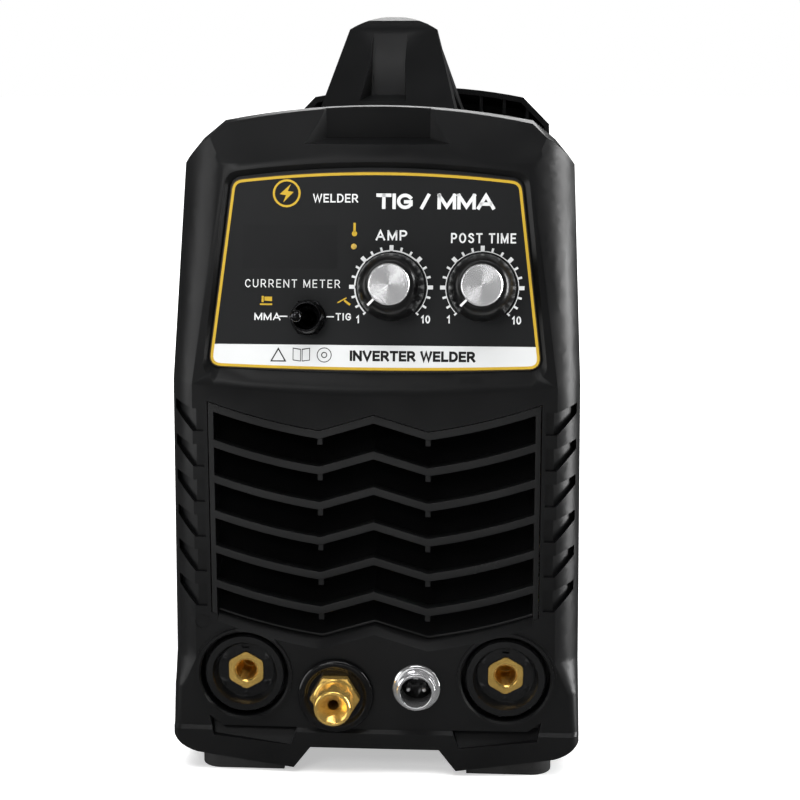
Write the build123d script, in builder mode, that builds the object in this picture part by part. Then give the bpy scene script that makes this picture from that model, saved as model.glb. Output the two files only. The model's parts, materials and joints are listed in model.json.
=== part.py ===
from build123d import *
import os
from math import cos, radians, sin, tan

# Inverter tig welder. Two moulded bezels close the ends of a sheet steel case that carries a
# bridge handle. The front leans back above a louvred intake; sockets sit below it.
# X is to the viewer's right seen from the front, Y runs to the back, Z is up. Millimetres.

# ---- driving dimensions ----------------------------------------------------------------
FRONT = -210.0            # face of the front bezel below the crease
REAR = 210.0              # face of the rear bezel
FRONT_RIM = -160.0        # back edge of the front bezel's collar
REAR_RIM = 165.0          # front edge of the rear bezel's collar
WALL = 3.0                # moulding wall
FACE = 5.0                # moulding wall behind the front face
FLOOR_Z = 15.0            # underside of the chassis, on the bezels' floors

LEAN = 12.0               # the control panel leans back by this angle
CREASE_Z = 175.0          # height where the panel starts to lean
BROW_LEAN = 28.0          # the brow above the panel leans further
BROW_Z = 266.8            # crease between panel and brow, at the sides
BROW_BOW = 1.45           # the brow is bowed forward this far at its middle
SKIRT_Z = 19.0            # top of the proud skirt at the foot of the front
SEAT = 0.8                # flat seats under the round sockets stand out this far
LEG_INNER = (36.0, 2.3)   # underside of a leg, inner and outer ends (X, Z)
LEG_OUTER = (79.0, 8.4)

CASE_HALF = 78.0          # half width of the sheet steel case
CASE_TOP = 266.0
CASE_R = 16.0
SHEET = 1.2
CASE_FRONT = -168.0
CASE_REAR = 173.0

LOUVRE_HALF = 71.3        # half width of the louvre insert
LOUVRE_PITCH = 15.7
LOUVRE_GAPS = 6
LOUVRE_END_Z = 167.3      # first chevron edge, at its ends, at its dips and at its peak
LOUVRE_DIP_Z = 155.3
LOUVRE_PEAK_Z = 162.4
LOUVRE_DIP_X = 23.3
BAR = 3.5                 # height of a bar's face
BLADE_RISE = 32.0         # the blades behind the bars rise at this angle
BLADE_DEPTH = 19.0
SILL = 3.2                # height of the sloping sill under the last gap

KNOB_X = (6.8, 45.6)      # amp and post time dials
KNOB_U = 42.3             # dial height, measured up the leaning panel
TOGGLE_X, TOGGLE_U = -28.4, 28.9
LAMP_X, LAMP_U = -9.3, 59.5
METER_X, METER_U = -36.4, 59.2
TOGGLE_TILT = 11.0        # the lever rests this far to the left of square
RECESS = 2.2              # depth of the label recess
PLATE = 0.8               # thickness of the label plate
PLATE_TOP = PLATE - RECESS

SOCKET_X, SOCKET_Z = 57.6, 44.7       # output sockets, left and right
GAS_X, GAS_Z = -17.0, 36.3
CONTROL_X, CONTROL_Z = 18.6, 40.7

FAN_Z = 132.0
FAN_SIZE = 92.0
BREAKER_X, BREAKER_Z = 32.0, 222.0
BREAKER_PIVOT_Y = 208.0
BREAKER_TILT = 25.0       # the lever rests this far below square, at off
GLAND_X, GLAND_Z = -34.0, 222.0
INLET_X, INLET_Z = 50.0, 50.0
EARTH_X, EARTH_Z = -50.0, 50.0
FAN_SCREW = 82.5 / 2       # fan fixing holes, out from the fan's centre both ways

HANDLE_TOP = 331.0
BOARD_Z = 120.0

ON_FACE = (Align.CENTER, Align.CENTER, Align.MIN)
PANEL = Plane(origin=(0, FRONT, CREASE_Z), x_dir=(1, 0, 0),
              z_dir=(0, -cos(radians(LEAN)), sin(radians(LEAN))))


# ---- helpers ---------------------------------------------------------------------------
def front_plane(x=0.0, z=0.0, y=FRONT):
    """A plane that faces the viewer of the front."""
    return Plane(origin=(x, y, z), x_dir=(1, 0, 0), z_dir=(0, -1, 0))


def rear_plane(x=0.0, z=0.0, y=REAR):
    """A plane that faces the viewer of the rear."""
    return Plane(origin=(x, y, z), x_dir=(-1, 0, 0), z_dir=(0, 1, 0))


def panel_plane(x, up):
    """A plane on the leaning panel, x across and up along the panel."""
    centre = PANEL.from_local_coords((x, up, 0))
    return Plane(origin=centre, x_dir=PANEL.x_dir, z_dir=PANEL.z_dir)


def rod(plane, radius, start, end, mode=Mode.ADD):
    """A round bar along the plane's normal between two distances from it."""
    with Locations(plane.offset(start)):
        Cylinder(radius, end - start, align=ON_FACE, mode=mode)


def cone(plane, radius_start, radius_end, start, end, mode=Mode.ADD):
    with Locations(plane.offset(start)):
        Cone(radius_start, radius_end, end - start, align=ON_FACE, mode=mode)


def hexagon(plane, across_flats, start, end, turn=0.0, mode=Mode.ADD):
    with BuildSketch(plane.offset(start)) as outline:
        RegularPolygon(across_flats / 2, 6, major_radius=False, rotation=turn)
    extrude(outline.sketch, amount=end - start, mode=mode)


def block(low, high, mode=Mode.ADD):
    """A box between two corners."""
    size = [b - a for a, b in zip(low, high)]
    with Locations(tuple(low)):
        Box(*size, align=(Align.MIN, Align.MIN, Align.MIN), mode=mode)


def plate(plane, width, height, start, end, radius=0.0, mode=Mode.ADD):
    """A flat block on a plane, with rounded corners when a radius is given."""
    with BuildSketch(plane.offset(start)) as outline:
        if radius > 0:
            RectangleRounded(width, height, radius)
        else:
            Rectangle(width, height)
    extrude(outline.sketch, amount=end - start, mode=mode)


def save(piece, label):
    piece.part.label = label
    export_step(piece.part, f"parts/{label}.step")


# ---- the bezels' outer form ------------------------------------------------------------
def plan_section(z, half_width, face_y, back_y, corner, bow, front):
    """Plan outline of a bezel at one height: bowed face, corners that are gently rounded
    between two creases. A corner is its width, its depth and how far it swells."""
    side = 1 if front else -1
    wide, deep, swell = corner
    chord = (wide ** 2 + deep ** 2) ** 0.5
    middle = (-half_width + wide / 2 - swell * deep / chord,
              face_y + side * (deep / 2 - swell * wide / chord))
    with BuildSketch(Plane.XY.offset(z)) as section:
        with BuildLine():
            turn_in = (-half_width, face_y + side * deep)
            turn_out = (-half_width + wide, face_y)
            Line((-half_width, back_y), turn_in)
            ThreePointArc(turn_in, middle, turn_out)
            if bow > 0:
                ThreePointArc(turn_out, (0, face_y - side * bow), (-turn_out[0], face_y))
            else:
                Line(turn_out, (-turn_out[0], face_y))
            ThreePointArc((-turn_out[0], face_y), (-middle[0], middle[1]),
                          (half_width, turn_in[1]))
            Line((half_width, turn_in[1]), (half_width, back_y))
            Line((half_width, back_y), (-half_width, back_y))
        make_face()
    return section.sketch


def front_face_y(z):
    """Face of the front bezel at a height."""
    return FRONT + max(0.0, z - CREASE_Z) * tan(radians(LEAN))


def brow_cutter(setback):
    """Everything in front of the brow, a bowed surface that leans back."""
    start_z = 200.0
    reach = 100.0
    base_y = front_face_y(BROW_Z) - (BROW_Z - start_z) * tan(radians(BROW_LEAN)) + setback
    sag = BROW_BOW * ((reach / 65.0) ** 2 - 1)
    with BuildPart() as cutter:
        with BuildSketch(Plane.XY.offset(start_z)) as region:
            with BuildLine():
                ThreePointArc((-reach, base_y + sag), (0, base_y - BROW_BOW), (reach, base_y + sag))
                Line((reach, base_y + sag), (reach, -330))
                Line((reach, -330), (-reach, -330))
                Line((-reach, -330), (-reach, base_y + sag))
            make_face()
        extrude(region.sketch, amount=160,
                dir=(0, sin(radians(BROW_LEAN)), cos(radians(BROW_LEAN))))
    return cutter.part


def bezel_outline(y, crown, shoulder, inset=0.0):
    """The bezel seen from the front: arched top, cut shoulders and two legs. The shoulder
    is a run of points from the end of the arch out to the side."""
    outer = shoulder[-1]
    with BuildSketch(front_plane(y=y)) as outline:
        with BuildLine():
            TangentArc((0, crown), shoulder[0], tangent=(1, 0))
            if inset > 0:
                Polyline(*shoulder, (outer[0], FLOOR_Z), (0, FLOOR_Z))
            else:
                Polyline(*shoulder, (outer[0], 19), (91.0, 17.2))
                ThreePointArc((91.0, 17.2), (86.4, 12.0), LEG_OUTER)
                Polyline(LEG_OUTER, LEG_INNER, (28.5, 12.0), (0, 12.0))
            mirror(about=Plane.YZ)
        make_face()
    return outline.sketch


# height, half width, how far the face stands proud, and the corner at that height
FRONT_SECTIONS = ((-6, 90.5, 1.5, (4.0, 6.0, 1.6)), (SKIRT_Z, 90.0, 1.5, (4.0, 6.0, 1.6)),
                  (SKIRT_Z + 1.5, 90.0, 0.0, (4.0, 6.0, 1.6)), (38.0, 89.7, 0.0, (5.0, 7.0, 1.5)),
                  (52.0, 89.4, 0.0, (10.5, 11.0, 1.3)), (CREASE_Z, 88.0, 0.0, (10.0, 11.0, 1.3)),
                  (305, 83.2, 0.0, (23.0, 17.0, 2.4)))
RIM_CREST = -177.0        # the collar of the front bezel is highest here
ROUND_CORNER = (12.0, 12.0, 3.5)      # a plain quarter round


def front_form(inset=0.0):
    """Solid outer form of the front bezel, or its cavity when an inset is given."""
    face = FACE if inset else 0.0
    back = FRONT_RIM + (1.0 if inset else 0.0)
    with BuildPart() as form:
        for low, high in zip(FRONT_SECTIONS, FRONT_SECTIONS[1:]):
            sections = [plan_section(z, half - inset, front_face_y(z) - proud + face, back,
                                     corner, 1.0, True) for z, half, proud, corner in (low, high)]
            loft(sections, ruled=True)
        if inset:
            outlines = [
                bezel_outline(FRONT - 5, 273.3, ((62.3, 271.0), (79.9, 264.6), (89.6, 260.3)), inset),
                bezel_outline(back, 288.0, ((65.6, 281.8), (81.4, 264.3), (90.2, 254.8)), inset)]
        else:
            outlines = [
                bezel_outline(FRONT - 5, 277.3,
                              ((64.6, 274.7), (74.6, 267.6), (81.0, 264.5), (93.0, 260.5))),
                bezel_outline(RIM_CREST, 291.8,
                              ((66.4, 285.4), (76.0, 277.6), (81.4, 271.2), (93.2, 255.6))),
                bezel_outline(back, 291.2,
                              ((66.0, 284.8), (75.4, 277.0), (80.8, 270.6), (93.2, 254.8)))]
        loft(outlines, ruled=True, mode=Mode.INTERSECT)
        if inset:
            add(brow_cutter(11.0), mode=Mode.SUBTRACT)
            for low, high in ((-120, -31), (31, 120)):
                block((low, FRONT - 10, -10), (high, FRONT + 14, 27), mode=Mode.SUBTRACT)
        else:
            # the panel is flat: trim the bow in front of it
            plate(PANEL, 300, 400, 0, 30, mode=Mode.SUBTRACT)
            add(brow_cutter(0.0), mode=Mode.SUBTRACT)
    return form.part


def label_outline(plane, top_half, top_corner, top_mid, low_half, low_corner, low_mid, radius):
    """A trapezium with an arched top and rounded corners."""
    with BuildSketch(plane) as outline:
        with BuildLine():
            ThreePointArc((-top_half, top_corner), (0, top_mid), (top_half, top_corner))
            Line((top_half, top_corner), (low_half, low_corner))
            ThreePointArc((low_half, low_corner), (0, low_mid), (-low_half, low_corner))
            Line((-low_half, low_corner), (-top_half, top_corner))
        make_face()
        fillet(outline.vertices(), radius)
    return outline.sketch


def louvre_band(plane, top_shift, low_shift, half):
    """Face between two chevron edges of the louvre, shifted in height from the first edge."""
    slope = (LOUVRE_END_Z - LOUVRE_DIP_Z) / (LOUVRE_HALF - LOUVRE_DIP_X)
    end_z = LOUVRE_DIP_Z + slope * (half - LOUVRE_DIP_X)
    mid_x = (half + LOUVRE_DIP_X) / 2
    mid_z = (end_z + LOUVRE_DIP_Z) / 2 - 1.2
    with BuildSketch(plane) as band:
        with BuildLine():
            for shift in (top_shift, low_shift):
                dip = (LOUVRE_DIP_X, LOUVRE_DIP_Z + shift)
                for side in (-1, 1):
                    ThreePointArc((side * half, end_z + shift), (side * mid_x, mid_z + shift),
                                  (side * dip[0], dip[1]))
                    Line((side * dip[0], dip[1]), (0, LOUVRE_PEAK_Z + shift))
            for side in (-1, 1):
                Line((side * half, end_z + top_shift), (side * half, end_z + low_shift))
        make_face()
    return band.sketch


# ---- front bezel -----------------------------------------------------------------------
NOTCH_DEPTH = 1.5


def side_notches():
    """Shallow pockets round the bezel's edge, one in line with each louvre. Their floors
    run parallel with the surface."""
    crease = 88.0 - 10.0
    with BuildPart() as core:
        sections = [plan_section(z, half - NOTCH_DEPTH, FRONT + NOTCH_DEPTH, FRONT_RIM,
                                 (10.0, 11.0, 1.3), 1.0, True)
                    for z, half in ((52.0, 89.4), (CREASE_Z, 88.0))]
        loft(sections, ruled=True)
    with BuildPart() as notches:
        with BuildSketch(front_plane()) as pockets:
            for side in (-1, 1):
                for row in range(LOUVRE_GAPS):
                    low = 154.4 - row * LOUVRE_PITCH
                    with BuildLine():
                        Polyline((side * 73.4, low + 10.0), (side * crease, low + 10.0),
                                 (side * 86.6, low + 13.0), (side * 86.6, low + 8.6),
                                 (side * crease, low), (side * 73.4, low), close=True)
                    make_face()
        extrude(pockets.sketch, amount=-15.0)
        extrude(pockets.sketch, amount=5.0)
        add(core.part, mode=Mode.SUBTRACT)
    return notches.part


def foot_pocket(side):
    """Wedge cut above each foot, deepest along its top edge."""
    depth = 4.5
    with BuildPart() as pocket:
        with BuildSketch(front_plane(y=FRONT - 3)) as mouth:
            Polygon((side * 73.6, 25.4), (side * 67.6, 20.8), (side * 34.4, 20.8),
                    (side * 37.2, 12.8), (side * 71.6, 16.6), align=None)
        extrude(mouth.sketch, amount=-(3 + depth))
        # the wedge's floor slopes out to the skirt at its lower edge
        with BuildSketch(SIDE_VIEW) as floor:
            Polygon((FRONT - 4, 5), (FRONT - 1.5, 12.6), (FRONT + depth, 20.8), (FRONT + depth, 30),
                    (FRONT - 4, 30), align=None)
        extrude(floor.sketch, amount=90, both=True, mode=Mode.INTERSECT)
    return pocket.part


def make_front_bezel():
    form = front_form()
    cavity = front_form(WALL)
    notches = side_notches()
    pockets = {side: foot_pocket(side) for side in (-1, 1)}
    with BuildPart() as bezel:
        add(form)
        add(cavity, mode=Mode.SUBTRACT)
        # cups behind the output sockets, each with a raised lip round its mouth
        for side in (-1, 1):
            cup = front_plane(side * SOCKET_X, SOCKET_Z)
            rod(cup, 22.4, -15.0, 0.4)
            rod(cup, 21.3, 0.0, 1.6)
            cone(cup, 19.5, 20.2, 0.6, 1.6, mode=Mode.SUBTRACT)
            rod(cup, 19.5, -12.0, 0.6, mode=Mode.SUBTRACT)
            rod(cup, 12.2, -20.0, 0.0, mode=Mode.SUBTRACT)
            add(pockets[side], mode=Mode.SUBTRACT)
        add(notches, mode=Mode.SUBTRACT)
        rod(front_plane(-75.8, 68.8), 3.2, -0.35, 5.0, mode=Mode.SUBTRACT)
        # flat seats and through holes for the gas and control sockets
        rod(front_plane(GAS_X, GAS_Z), 16.8, SEAT, 5.0, mode=Mode.SUBTRACT)
        rod(front_plane(CONTROL_X, CONTROL_Z), 10.6, SEAT, 5.0, mode=Mode.SUBTRACT)
        rod(front_plane(GAS_X, GAS_Z), 9.2, -20.0, 5.0, mode=Mode.SUBTRACT)
        rod(front_plane(CONTROL_X, CONTROL_Z), 8.6, -20.0, 5.0, mode=Mode.SUBTRACT)
        # louvre window
        low = -LOUVRE_GAPS * LOUVRE_PITCH
        window = louvre_band(front_plane(), 0.35, low, LOUVRE_HALF + 0.4)
        extrude(window, amount=-12.0, mode=Mode.SUBTRACT)
        extrude(window, amount=5.0, mode=Mode.SUBTRACT)
        # the window's sill slopes up into it
        sill = louvre_band(front_plane(y=FRONT - 2), low, low - SILL - 1.5, LOUVRE_HALF - 2.3)
        extrude(sill, amount=12.0, dir=(0, cos(radians(38)), sin(radians(38))), mode=Mode.SUBTRACT)
        # label recess with sloping sides
        loft([label_outline(PANEL.offset(0.02), 64.8, 90.8, 95.4, 74.0, 3.2, -0.4, 6.6),
              label_outline(PANEL.offset(-RECESS), 62.4, 88.9, 93.5, 71.6, 7.4, 5.2, 5.2)],
             ruled=True, mode=Mode.SUBTRACT)
        for x in KNOB_X:
            rod(panel_plane(x, KNOB_U), 3.7, -9.0, 1.0, mode=Mode.SUBTRACT)
        rod(panel_plane(TOGGLE_X, TOGGLE_U), 6.1, -9.0, 1.0, mode=Mode.SUBTRACT)
        rod(panel_plane(LAMP_X, LAMP_U), 1.8, -9.0, 1.0, mode=Mode.SUBTRACT)
        plate(panel_plane(METER_X, METER_U), 46.0, 20.6, -9.0, 0.0, mode=Mode.SUBTRACT)
        # notch in the middle of the brow
        brow_y = front_face_y(BROW_Z)
        with BuildSketch(front_plane(y=brow_y + 2.5)) as mouth:
            Polygon((-32.6, 275.4), (32.6, 275.4), (25.6, 300), (-25.6, 300), align=None)
        with BuildSketch(front_plane(y=brow_y + 12.0)) as back:
            Polygon((-22.4, 277.8), (22.4, 277.8), (22.4, 300), (-22.4, 300), align=None)
        loft([mouth.sketch, back.sketch], ruled=True, mode=Mode.SUBTRACT)
        # holes for the screws that hold the chassis
        with Locations((-20, -175, 0), (20, -175, 0)):
            Cylinder(2.1, 40, mode=Mode.SUBTRACT)
    return bezel


def make_louvre_grille():
    """Chevron bars with blades that rise towards the back, between two side cheeks."""
    outer = LOUVRE_HALF
    inner = LOUVRE_HALF - 2.3
    form = front_form()
    rise = (0, cos(radians(BLADE_RISE)), sin(radians(BLADE_RISE)))
    with BuildPart() as cheeks:
        side_band = louvre_band(front_plane(y=FRONT - 3), 0, -LOUVRE_GAPS * LOUVRE_PITCH, outer)
        extrude(side_band, amount=-22.0)
        block((-inner, FRONT - 10, 0), (inner, FRONT + 40, 300), mode=Mode.SUBTRACT)
    with BuildPart() as grille:
        add(cheeks.part)
        # the lowest blade has no bar: it closes the gap behind the bezel's sill
        low = -LOUVRE_GAPS * LOUVRE_PITCH
        blade = louvre_band(front_plane(y=FRONT + FACE + 0.3), low + 1.0, low - 1.5, inner + 1.0)
        extrude(blade, amount=BLADE_DEPTH, dir=rise)
        for row in range(LOUVRE_GAPS):
            top = -row * LOUVRE_PITCH
            blade = louvre_band(front_plane(y=FRONT + 4), top - 1.2, top - BAR, outer)
            extrude(blade, amount=BLADE_DEPTH, dir=rise)
            bar = louvre_band(front_plane(y=FRONT - 3), top, top - BAR, outer)
            extrude(bar, amount=-8.0)
            for side in (-1, 1):
                x = side * LOUVRE_DIP_X
                low = LOUVRE_DIP_Z + top - BAR
                block((x - 1.2, FRONT + 1.0, low - 3.0), (x + 1.2, FRONT + 5.0, low + 1.0))
        add(form, mode=Mode.INTERSECT)
    return grille


# ---- control panel ---------------------------------------------------------------------
def make_faceplate():
    with BuildPart() as faceplate:
        label = label_outline(PANEL.offset(-RECESS), 62.0, 88.5, 93.1, 71.2, 7.8, 5.6, 5.0)
        extrude(label, amount=PLATE)
        for x in KNOB_X:
            rod(panel_plane(x, KNOB_U), 3.7, -4.0, 1.0, mode=Mode.SUBTRACT)
        rod(panel_plane(TOGGLE_X, TOGGLE_U), 6.1, -4.0, 1.0, mode=Mode.SUBTRACT)
        rod(panel_plane(LAMP_X, LAMP_U), 1.3, -4.0, 1.0, mode=Mode.SUBTRACT)
    return faceplate


def make_display():
    """Three digit display module behind the label plate."""
    with BuildPart() as display:
        spot = panel_plane(METER_X, METER_U)
        plate(spot, 45.4, 20.0, -14.5, -2.4)
        for digit in (-1, 0, 1):
            with BuildSketch(panel_plane(METER_X + digit * 13.5, METER_U).offset(-2.4)) as window:
                RectangleRounded(10.5, 15.5, 1.0)
            extrude(window.sketch, amount=-0.6, mode=Mode.SUBTRACT)
    return display


def make_led():
    with BuildPart() as led:
        spot = panel_plane(LAMP_X, LAMP_U)
        rod(spot, 1.5, -14.5, -2.4)
        rod(spot, 1.2, -2.4, PLATE_TOP + 0.1)
    return led


def make_control_board():
    """Board parallel to the panel, with cut-outs for the mode switch."""
    with BuildPart() as board:
        plate(panel_plane(0, 50.0), 128.0, 64.0, -16.1, -14.5, 2.0)
        plate(panel_plane(TOGGLE_X, TOGGLE_U), 17.0, 32.0, -20.0, -10.0, mode=Mode.SUBTRACT)
        for x in KNOB_X:
            rod(panel_plane(x, KNOB_U), 3.4, -20.0, -10.0, mode=Mode.SUBTRACT)
        # chips and a header on the back
        for x in (-45, -8, 25, 55):
            plate(panel_plane(x, 66.0), 10.0, 8.0, -18.6, -16.1)
    return board


def make_potentiometer(x):
    with BuildPart() as pot:
        spot = panel_plane(x, KNOB_U)
        rod(spot, 8.5, -14.5, -5.6)
        rod(spot, 3.5, -5.6, 1.6)
        rod(spot, 3.05, -12.4, 2.0, mode=Mode.SUBTRACT)
    return pot


def make_pot_nuts():
    with BuildPart() as nuts:
        for x in KNOB_X:
            spot = panel_plane(x, KNOB_U)
            hexagon(spot, 10.0, PLATE_TOP, PLATE_TOP + 2.0)
            rod(spot, 3.5, -3.0, 3.0, mode=Mode.SUBTRACT)
    return nuts


def make_pot_shaft(x):
    with BuildPart() as shaft:
        rod(panel_plane(x, KNOB_U), 3.0, -12.0, 12.0)
    return shaft


def make_knob(x):
    """Plain turned knob that draws in towards a pocket for the metal cap."""
    spot = panel_plane(x, KNOB_U)
    profile = ((-0.9, 14.4), (1.2, 14.3), (4.8, 13.7), (8.2, 13.0), (11.0, 12.2), (12.8, 11.3),
               (13.8, 10.4), (14.2, 9.5))
    with BuildPart() as knob:
        for (low, wide), (high, narrow) in zip(profile, profile[1:]):
            cone(spot, wide, narrow, low, high)
        rod(spot, 8.8, 13.6, 16.0, mode=Mode.SUBTRACT)
        rod(spot, 6.6, -2.0, 3.0, mode=Mode.SUBTRACT)
        rod(spot, 3.0, 0.0, 12.0, mode=Mode.SUBTRACT)
    return knob


def make_knob_cap(x):
    spot = panel_plane(x, KNOB_U)
    with BuildPart() as cap:
        rod(spot, 8.75, 13.6, 14.4)
        cone(spot, 8.75, 8.2, 14.4, 14.9)
    return cap


def make_switch_body():
    with BuildPart() as switch:
        spot = panel_plane(TOGGLE_X, TOGGLE_U)
        plate(spot, 13.0, 28.0, -24.0, -5.6)
        rod(spot, 5.9, -5.6, 2.4)
        cone(spot, 3.4, 4.6, -4.0, 2.4, mode=Mode.SUBTRACT)
        rod(spot, 3.4, -6.4, -3.9, mode=Mode.SUBTRACT)
        with Locations(spot.offset(-6.4)):
            Sphere(3.6, mode=Mode.SUBTRACT)
        for row in (-9, 0, 9):
            with Locations(spot.offset(-28.0)):
                with Locations((-4, row, 0), (4, row, 0)):
                    Box(0.8, 4.0, 4.2, align=ON_FACE)
    return switch


def make_switch_nut():
    with BuildPart() as nut:
        spot = panel_plane(TOGGLE_X, TOGGLE_U)
        rod(spot, 7.5, PLATE_TOP, 0.8)
        hexagon(spot, 14.0, -0.8, 2.0)
        rod(spot, 5.9, -3.0, 3.0, mode=Mode.SUBTRACT)
    return nut


def make_toggle_boot():
    """Rubber sealing boot: a collar with an open cone that clears the lever."""
    with BuildPart() as boot:
        spot = panel_plane(TOGGLE_X, TOGGLE_U)
        rod(spot, 7.2, 2.4, 4.0)
        cone(spot, 7.2, 6.2, 4.0, 7.4)
        cone(spot, 4.6, 5.5, 2.4, 7.4, mode=Mode.SUBTRACT)
    return boot


def make_toggle_lever():
    """Bat lever, leaning to its left position about a pivot inside the bushing."""
    pivot = panel_plane(TOGGLE_X, TOGGLE_U).offset(-6.4)
    along = pivot.z_dir * cos(radians(TOGGLE_TILT)) - pivot.x_dir * sin(radians(TOGGLE_TILT))
    lean = Plane(origin=pivot.origin, z_dir=along)
    with BuildPart() as lever:
        with Locations(pivot):
            Sphere(3.2)
        cone(lean, 1.5, 2.6, 2.0, 19.0)
        with Locations(lean.offset(19.0)):
            Sphere(2.6)
    return lever


# ---- output sockets --------------------------------------------------------------------
def make_dinse_insulator(side):
    spot = front_plane(side * SOCKET_X, SOCKET_Z)
    with BuildPart() as insulator:
        rod(spot, 17.9, -12.0, -1.4)
        cone(spot, 17.9, 17.1, -1.4, -0.4)
        cone(spot, 12.4, 14.4, -5.2, -0.4, mode=Mode.SUBTRACT)
        rod(spot, 12.0, -30.0, -12.0)
        hexagon(spot, 15.4, -14.0, 0.0, turn=30, mode=Mode.SUBTRACT)
        rod(spot, 7.1, -31.0, -13.0, mode=Mode.SUBTRACT)
        # small moulded notch at the top of the face, and pips round it
        block((side * SOCKET_X - 1.6, FRONT + 4.2, SOCKET_Z + 10.2),
              (side * SOCKET_X + 1.6, FRONT + 6.4, SOCKET_Z + 12.2), mode=Mode.SUBTRACT)
        for angle in (30, 150, 210, 270, 330):
            pip = front_plane(side * SOCKET_X + 10.6 * cos(radians(angle)),
                              SOCKET_Z + 10.6 * sin(radians(angle)))
            rod(pip, 0.9, -5.6, -4.8)
    return insulator


def make_dinse_contact(side):
    """Brass socket: hexagon head, stepped bore, threaded tail with a clamping nut."""
    spot = front_plane(side * SOCKET_X, SOCKET_Z)
    with BuildPart() as head:
        hexagon(spot, 15.2, -14.0, CONTACT_FACE, turn=30)
        rod(spot, 8.3, -14.0, CONTACT_FACE, mode=Mode.INTERSECT)
    with BuildPart() as contact:
        add(head.part)
        rod(spot, 7.0, -48.0, -14.0)
        hexagon(spot, 17.0, -46.0, -38.0, turn=30)
        rod(spot, 4.5, BORE_END, 0.0, mode=Mode.SUBTRACT)
        rod(spot, 4.1, PIN_END, BORE_END + 0.2, mode=Mode.SUBTRACT)
        cone(spot, 4.5, 5.4, CONTACT_FACE - 1.0, CONTACT_FACE, mode=Mode.SUBTRACT)
    return contact


CONTACT_FACE = -4.6       # face of the brass hexagon, from the front
BORE_END = -22.2          # the plug's bore narrows here
PIN_END = -30.0
KEY_RISE = 1.2            # the key pin is this far above the bore's centre


def make_key_pins():
    """Steel pins that stand in the narrow ends of the contact bores."""
    with BuildPart() as pins:
        for side in (-1, 1):
            rod(front_plane(side * SOCKET_X, SOCKET_Z + KEY_RISE), 2.6, PIN_END, BORE_END - 0.4)
    return pins


def make_lock_rings():
    """Plastic rings that clamp the insulators behind the bezel."""
    with BuildPart() as rings:
        for side in (-1, 1):
            spot = front_plane(side * SOCKET_X, SOCKET_Z)
            hexagon(spot, 32.0, -22.0, -15.0)
            rod(spot, 12.0, -30.0, 0.0, mode=Mode.SUBTRACT)
    return rings


def make_gas_disc():
    """Insulating washer under the gas connector, with a raised rim."""
    spot = front_plane(GAS_X, GAS_Z)
    with BuildPart() as disc:
        rod(spot, 16.6, SEAT, 3.2)
        cone(spot, 16.6, 15.8, 3.2, 4.0)
        cone(spot, 12.4, 13.6, 2.6, 4.0, mode=Mode.SUBTRACT)
        rod(spot, 9.1, -5.0, 2.4)
        rod(spot, GAS_SHANK + 0.05, -10.0, 5.0, mode=Mode.SUBTRACT)
    return disc


NIPPLE_END = 18.3         # mouth of the gas nipple, from the front
GAS_SHANK = 7.6           # radius of its shank through the wall


def make_gas_connector():
    """Brass bulkhead connector: M16 nipple with a conical mouth, hexagon, hose tail."""
    spot = front_plane(GAS_X, GAS_Z)
    with BuildPart() as connector:
        hexagon(spot, 19.0, 2.6, 6.6)
        cone(spot, 9.3, 8.8, 6.6, 7.2)
        rod(spot, 8.0, 6.6, 17.5)
        cone(spot, 8.0, 7.3, 17.5, NIPPLE_END)
        rod(spot, GAS_SHANK, -16.0, 2.6)
        rod(spot, 4.0, -30.0, -16.0)
        cone(spot, 2.3, 6.7, 13.2, NIPPLE_END + 0.05, mode=Mode.SUBTRACT)
        rod(spot, 2.3, -31.0, 13.4, mode=Mode.SUBTRACT)
    return connector


def make_gas_nut():
    spot = front_plane(GAS_X, GAS_Z)
    with BuildPart() as nut:
        hexagon(spot, 19.0, -11.0, -5.0)
        rod(spot, GAS_SHANK, -15.0, 0.0, mode=Mode.SUBTRACT)
    return nut


def make_control_shell():
    """Chrome shell of the two pin control socket, with its keyway at the top."""
    spot = front_plane(CONTROL_X, CONTROL_Z)
    with BuildPart() as shell:
        rod(spot, 10.4, SEAT, 2.4)
        cone(spot, 10.4, 9.6, 2.4, 3.1)
        rod(spot, 8.5, -14.0, 7.2)
        cone(spot, 8.5, 7.8, 7.2, 7.8)
        rod(spot, 6.9, -20.0, 9.0, mode=Mode.SUBTRACT)
        block((CONTROL_X - 1.1, FRONT - 6.8, CONTROL_Z + 5.9),
              (CONTROL_X + 1.1, FRONT + 3.0, CONTROL_Z + 7.3))
        hexagon(spot, 21.0, -9.0, -5.2)
        rod(spot, 6.9, -10.0, -4.0, mode=Mode.SUBTRACT)
    return shell


def make_control_insert():
    spot = front_plane(CONTROL_X, CONTROL_Z)
    with BuildPart() as insert:
        rod(spot, 6.85, -14.0, -3.2)
        for dx in (-3.4, 3.4):
            rod(front_plane(CONTROL_X + dx, CONTROL_Z), 0.9, -15.0, 0.0, mode=Mode.SUBTRACT)
    return insert


def make_control_pins():
    with BuildPart() as pins:
        for dx in (-3.4, 3.4):
            spot = front_plane(CONTROL_X + dx, CONTROL_Z)
            rod(spot, 0.9, -20.0, 4.4)
            cone(spot, 0.9, 0.4, 4.4, 5.0)
    return pins


# ---- handle ----------------------------------------------------------------------------
def handle_view(foot, mid, top, crown):
    """Front view of the handle: tapered sides and an arched top."""
    with BuildSketch(front_plane(y=0)) as view:
        with BuildLine():
            TangentArc((0, crown), top, tangent=(1, 0))
            Polyline(top, mid, foot, (foot[0], CASE_TOP), (0, CASE_TOP))
            mirror(about=Plane.YZ)
        make_face()
    return view.sketch


SIDE_VIEW = Plane(origin=(0, 0, 0), x_dir=(0, 1, 0), z_dir=(1, 0, 0))


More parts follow.
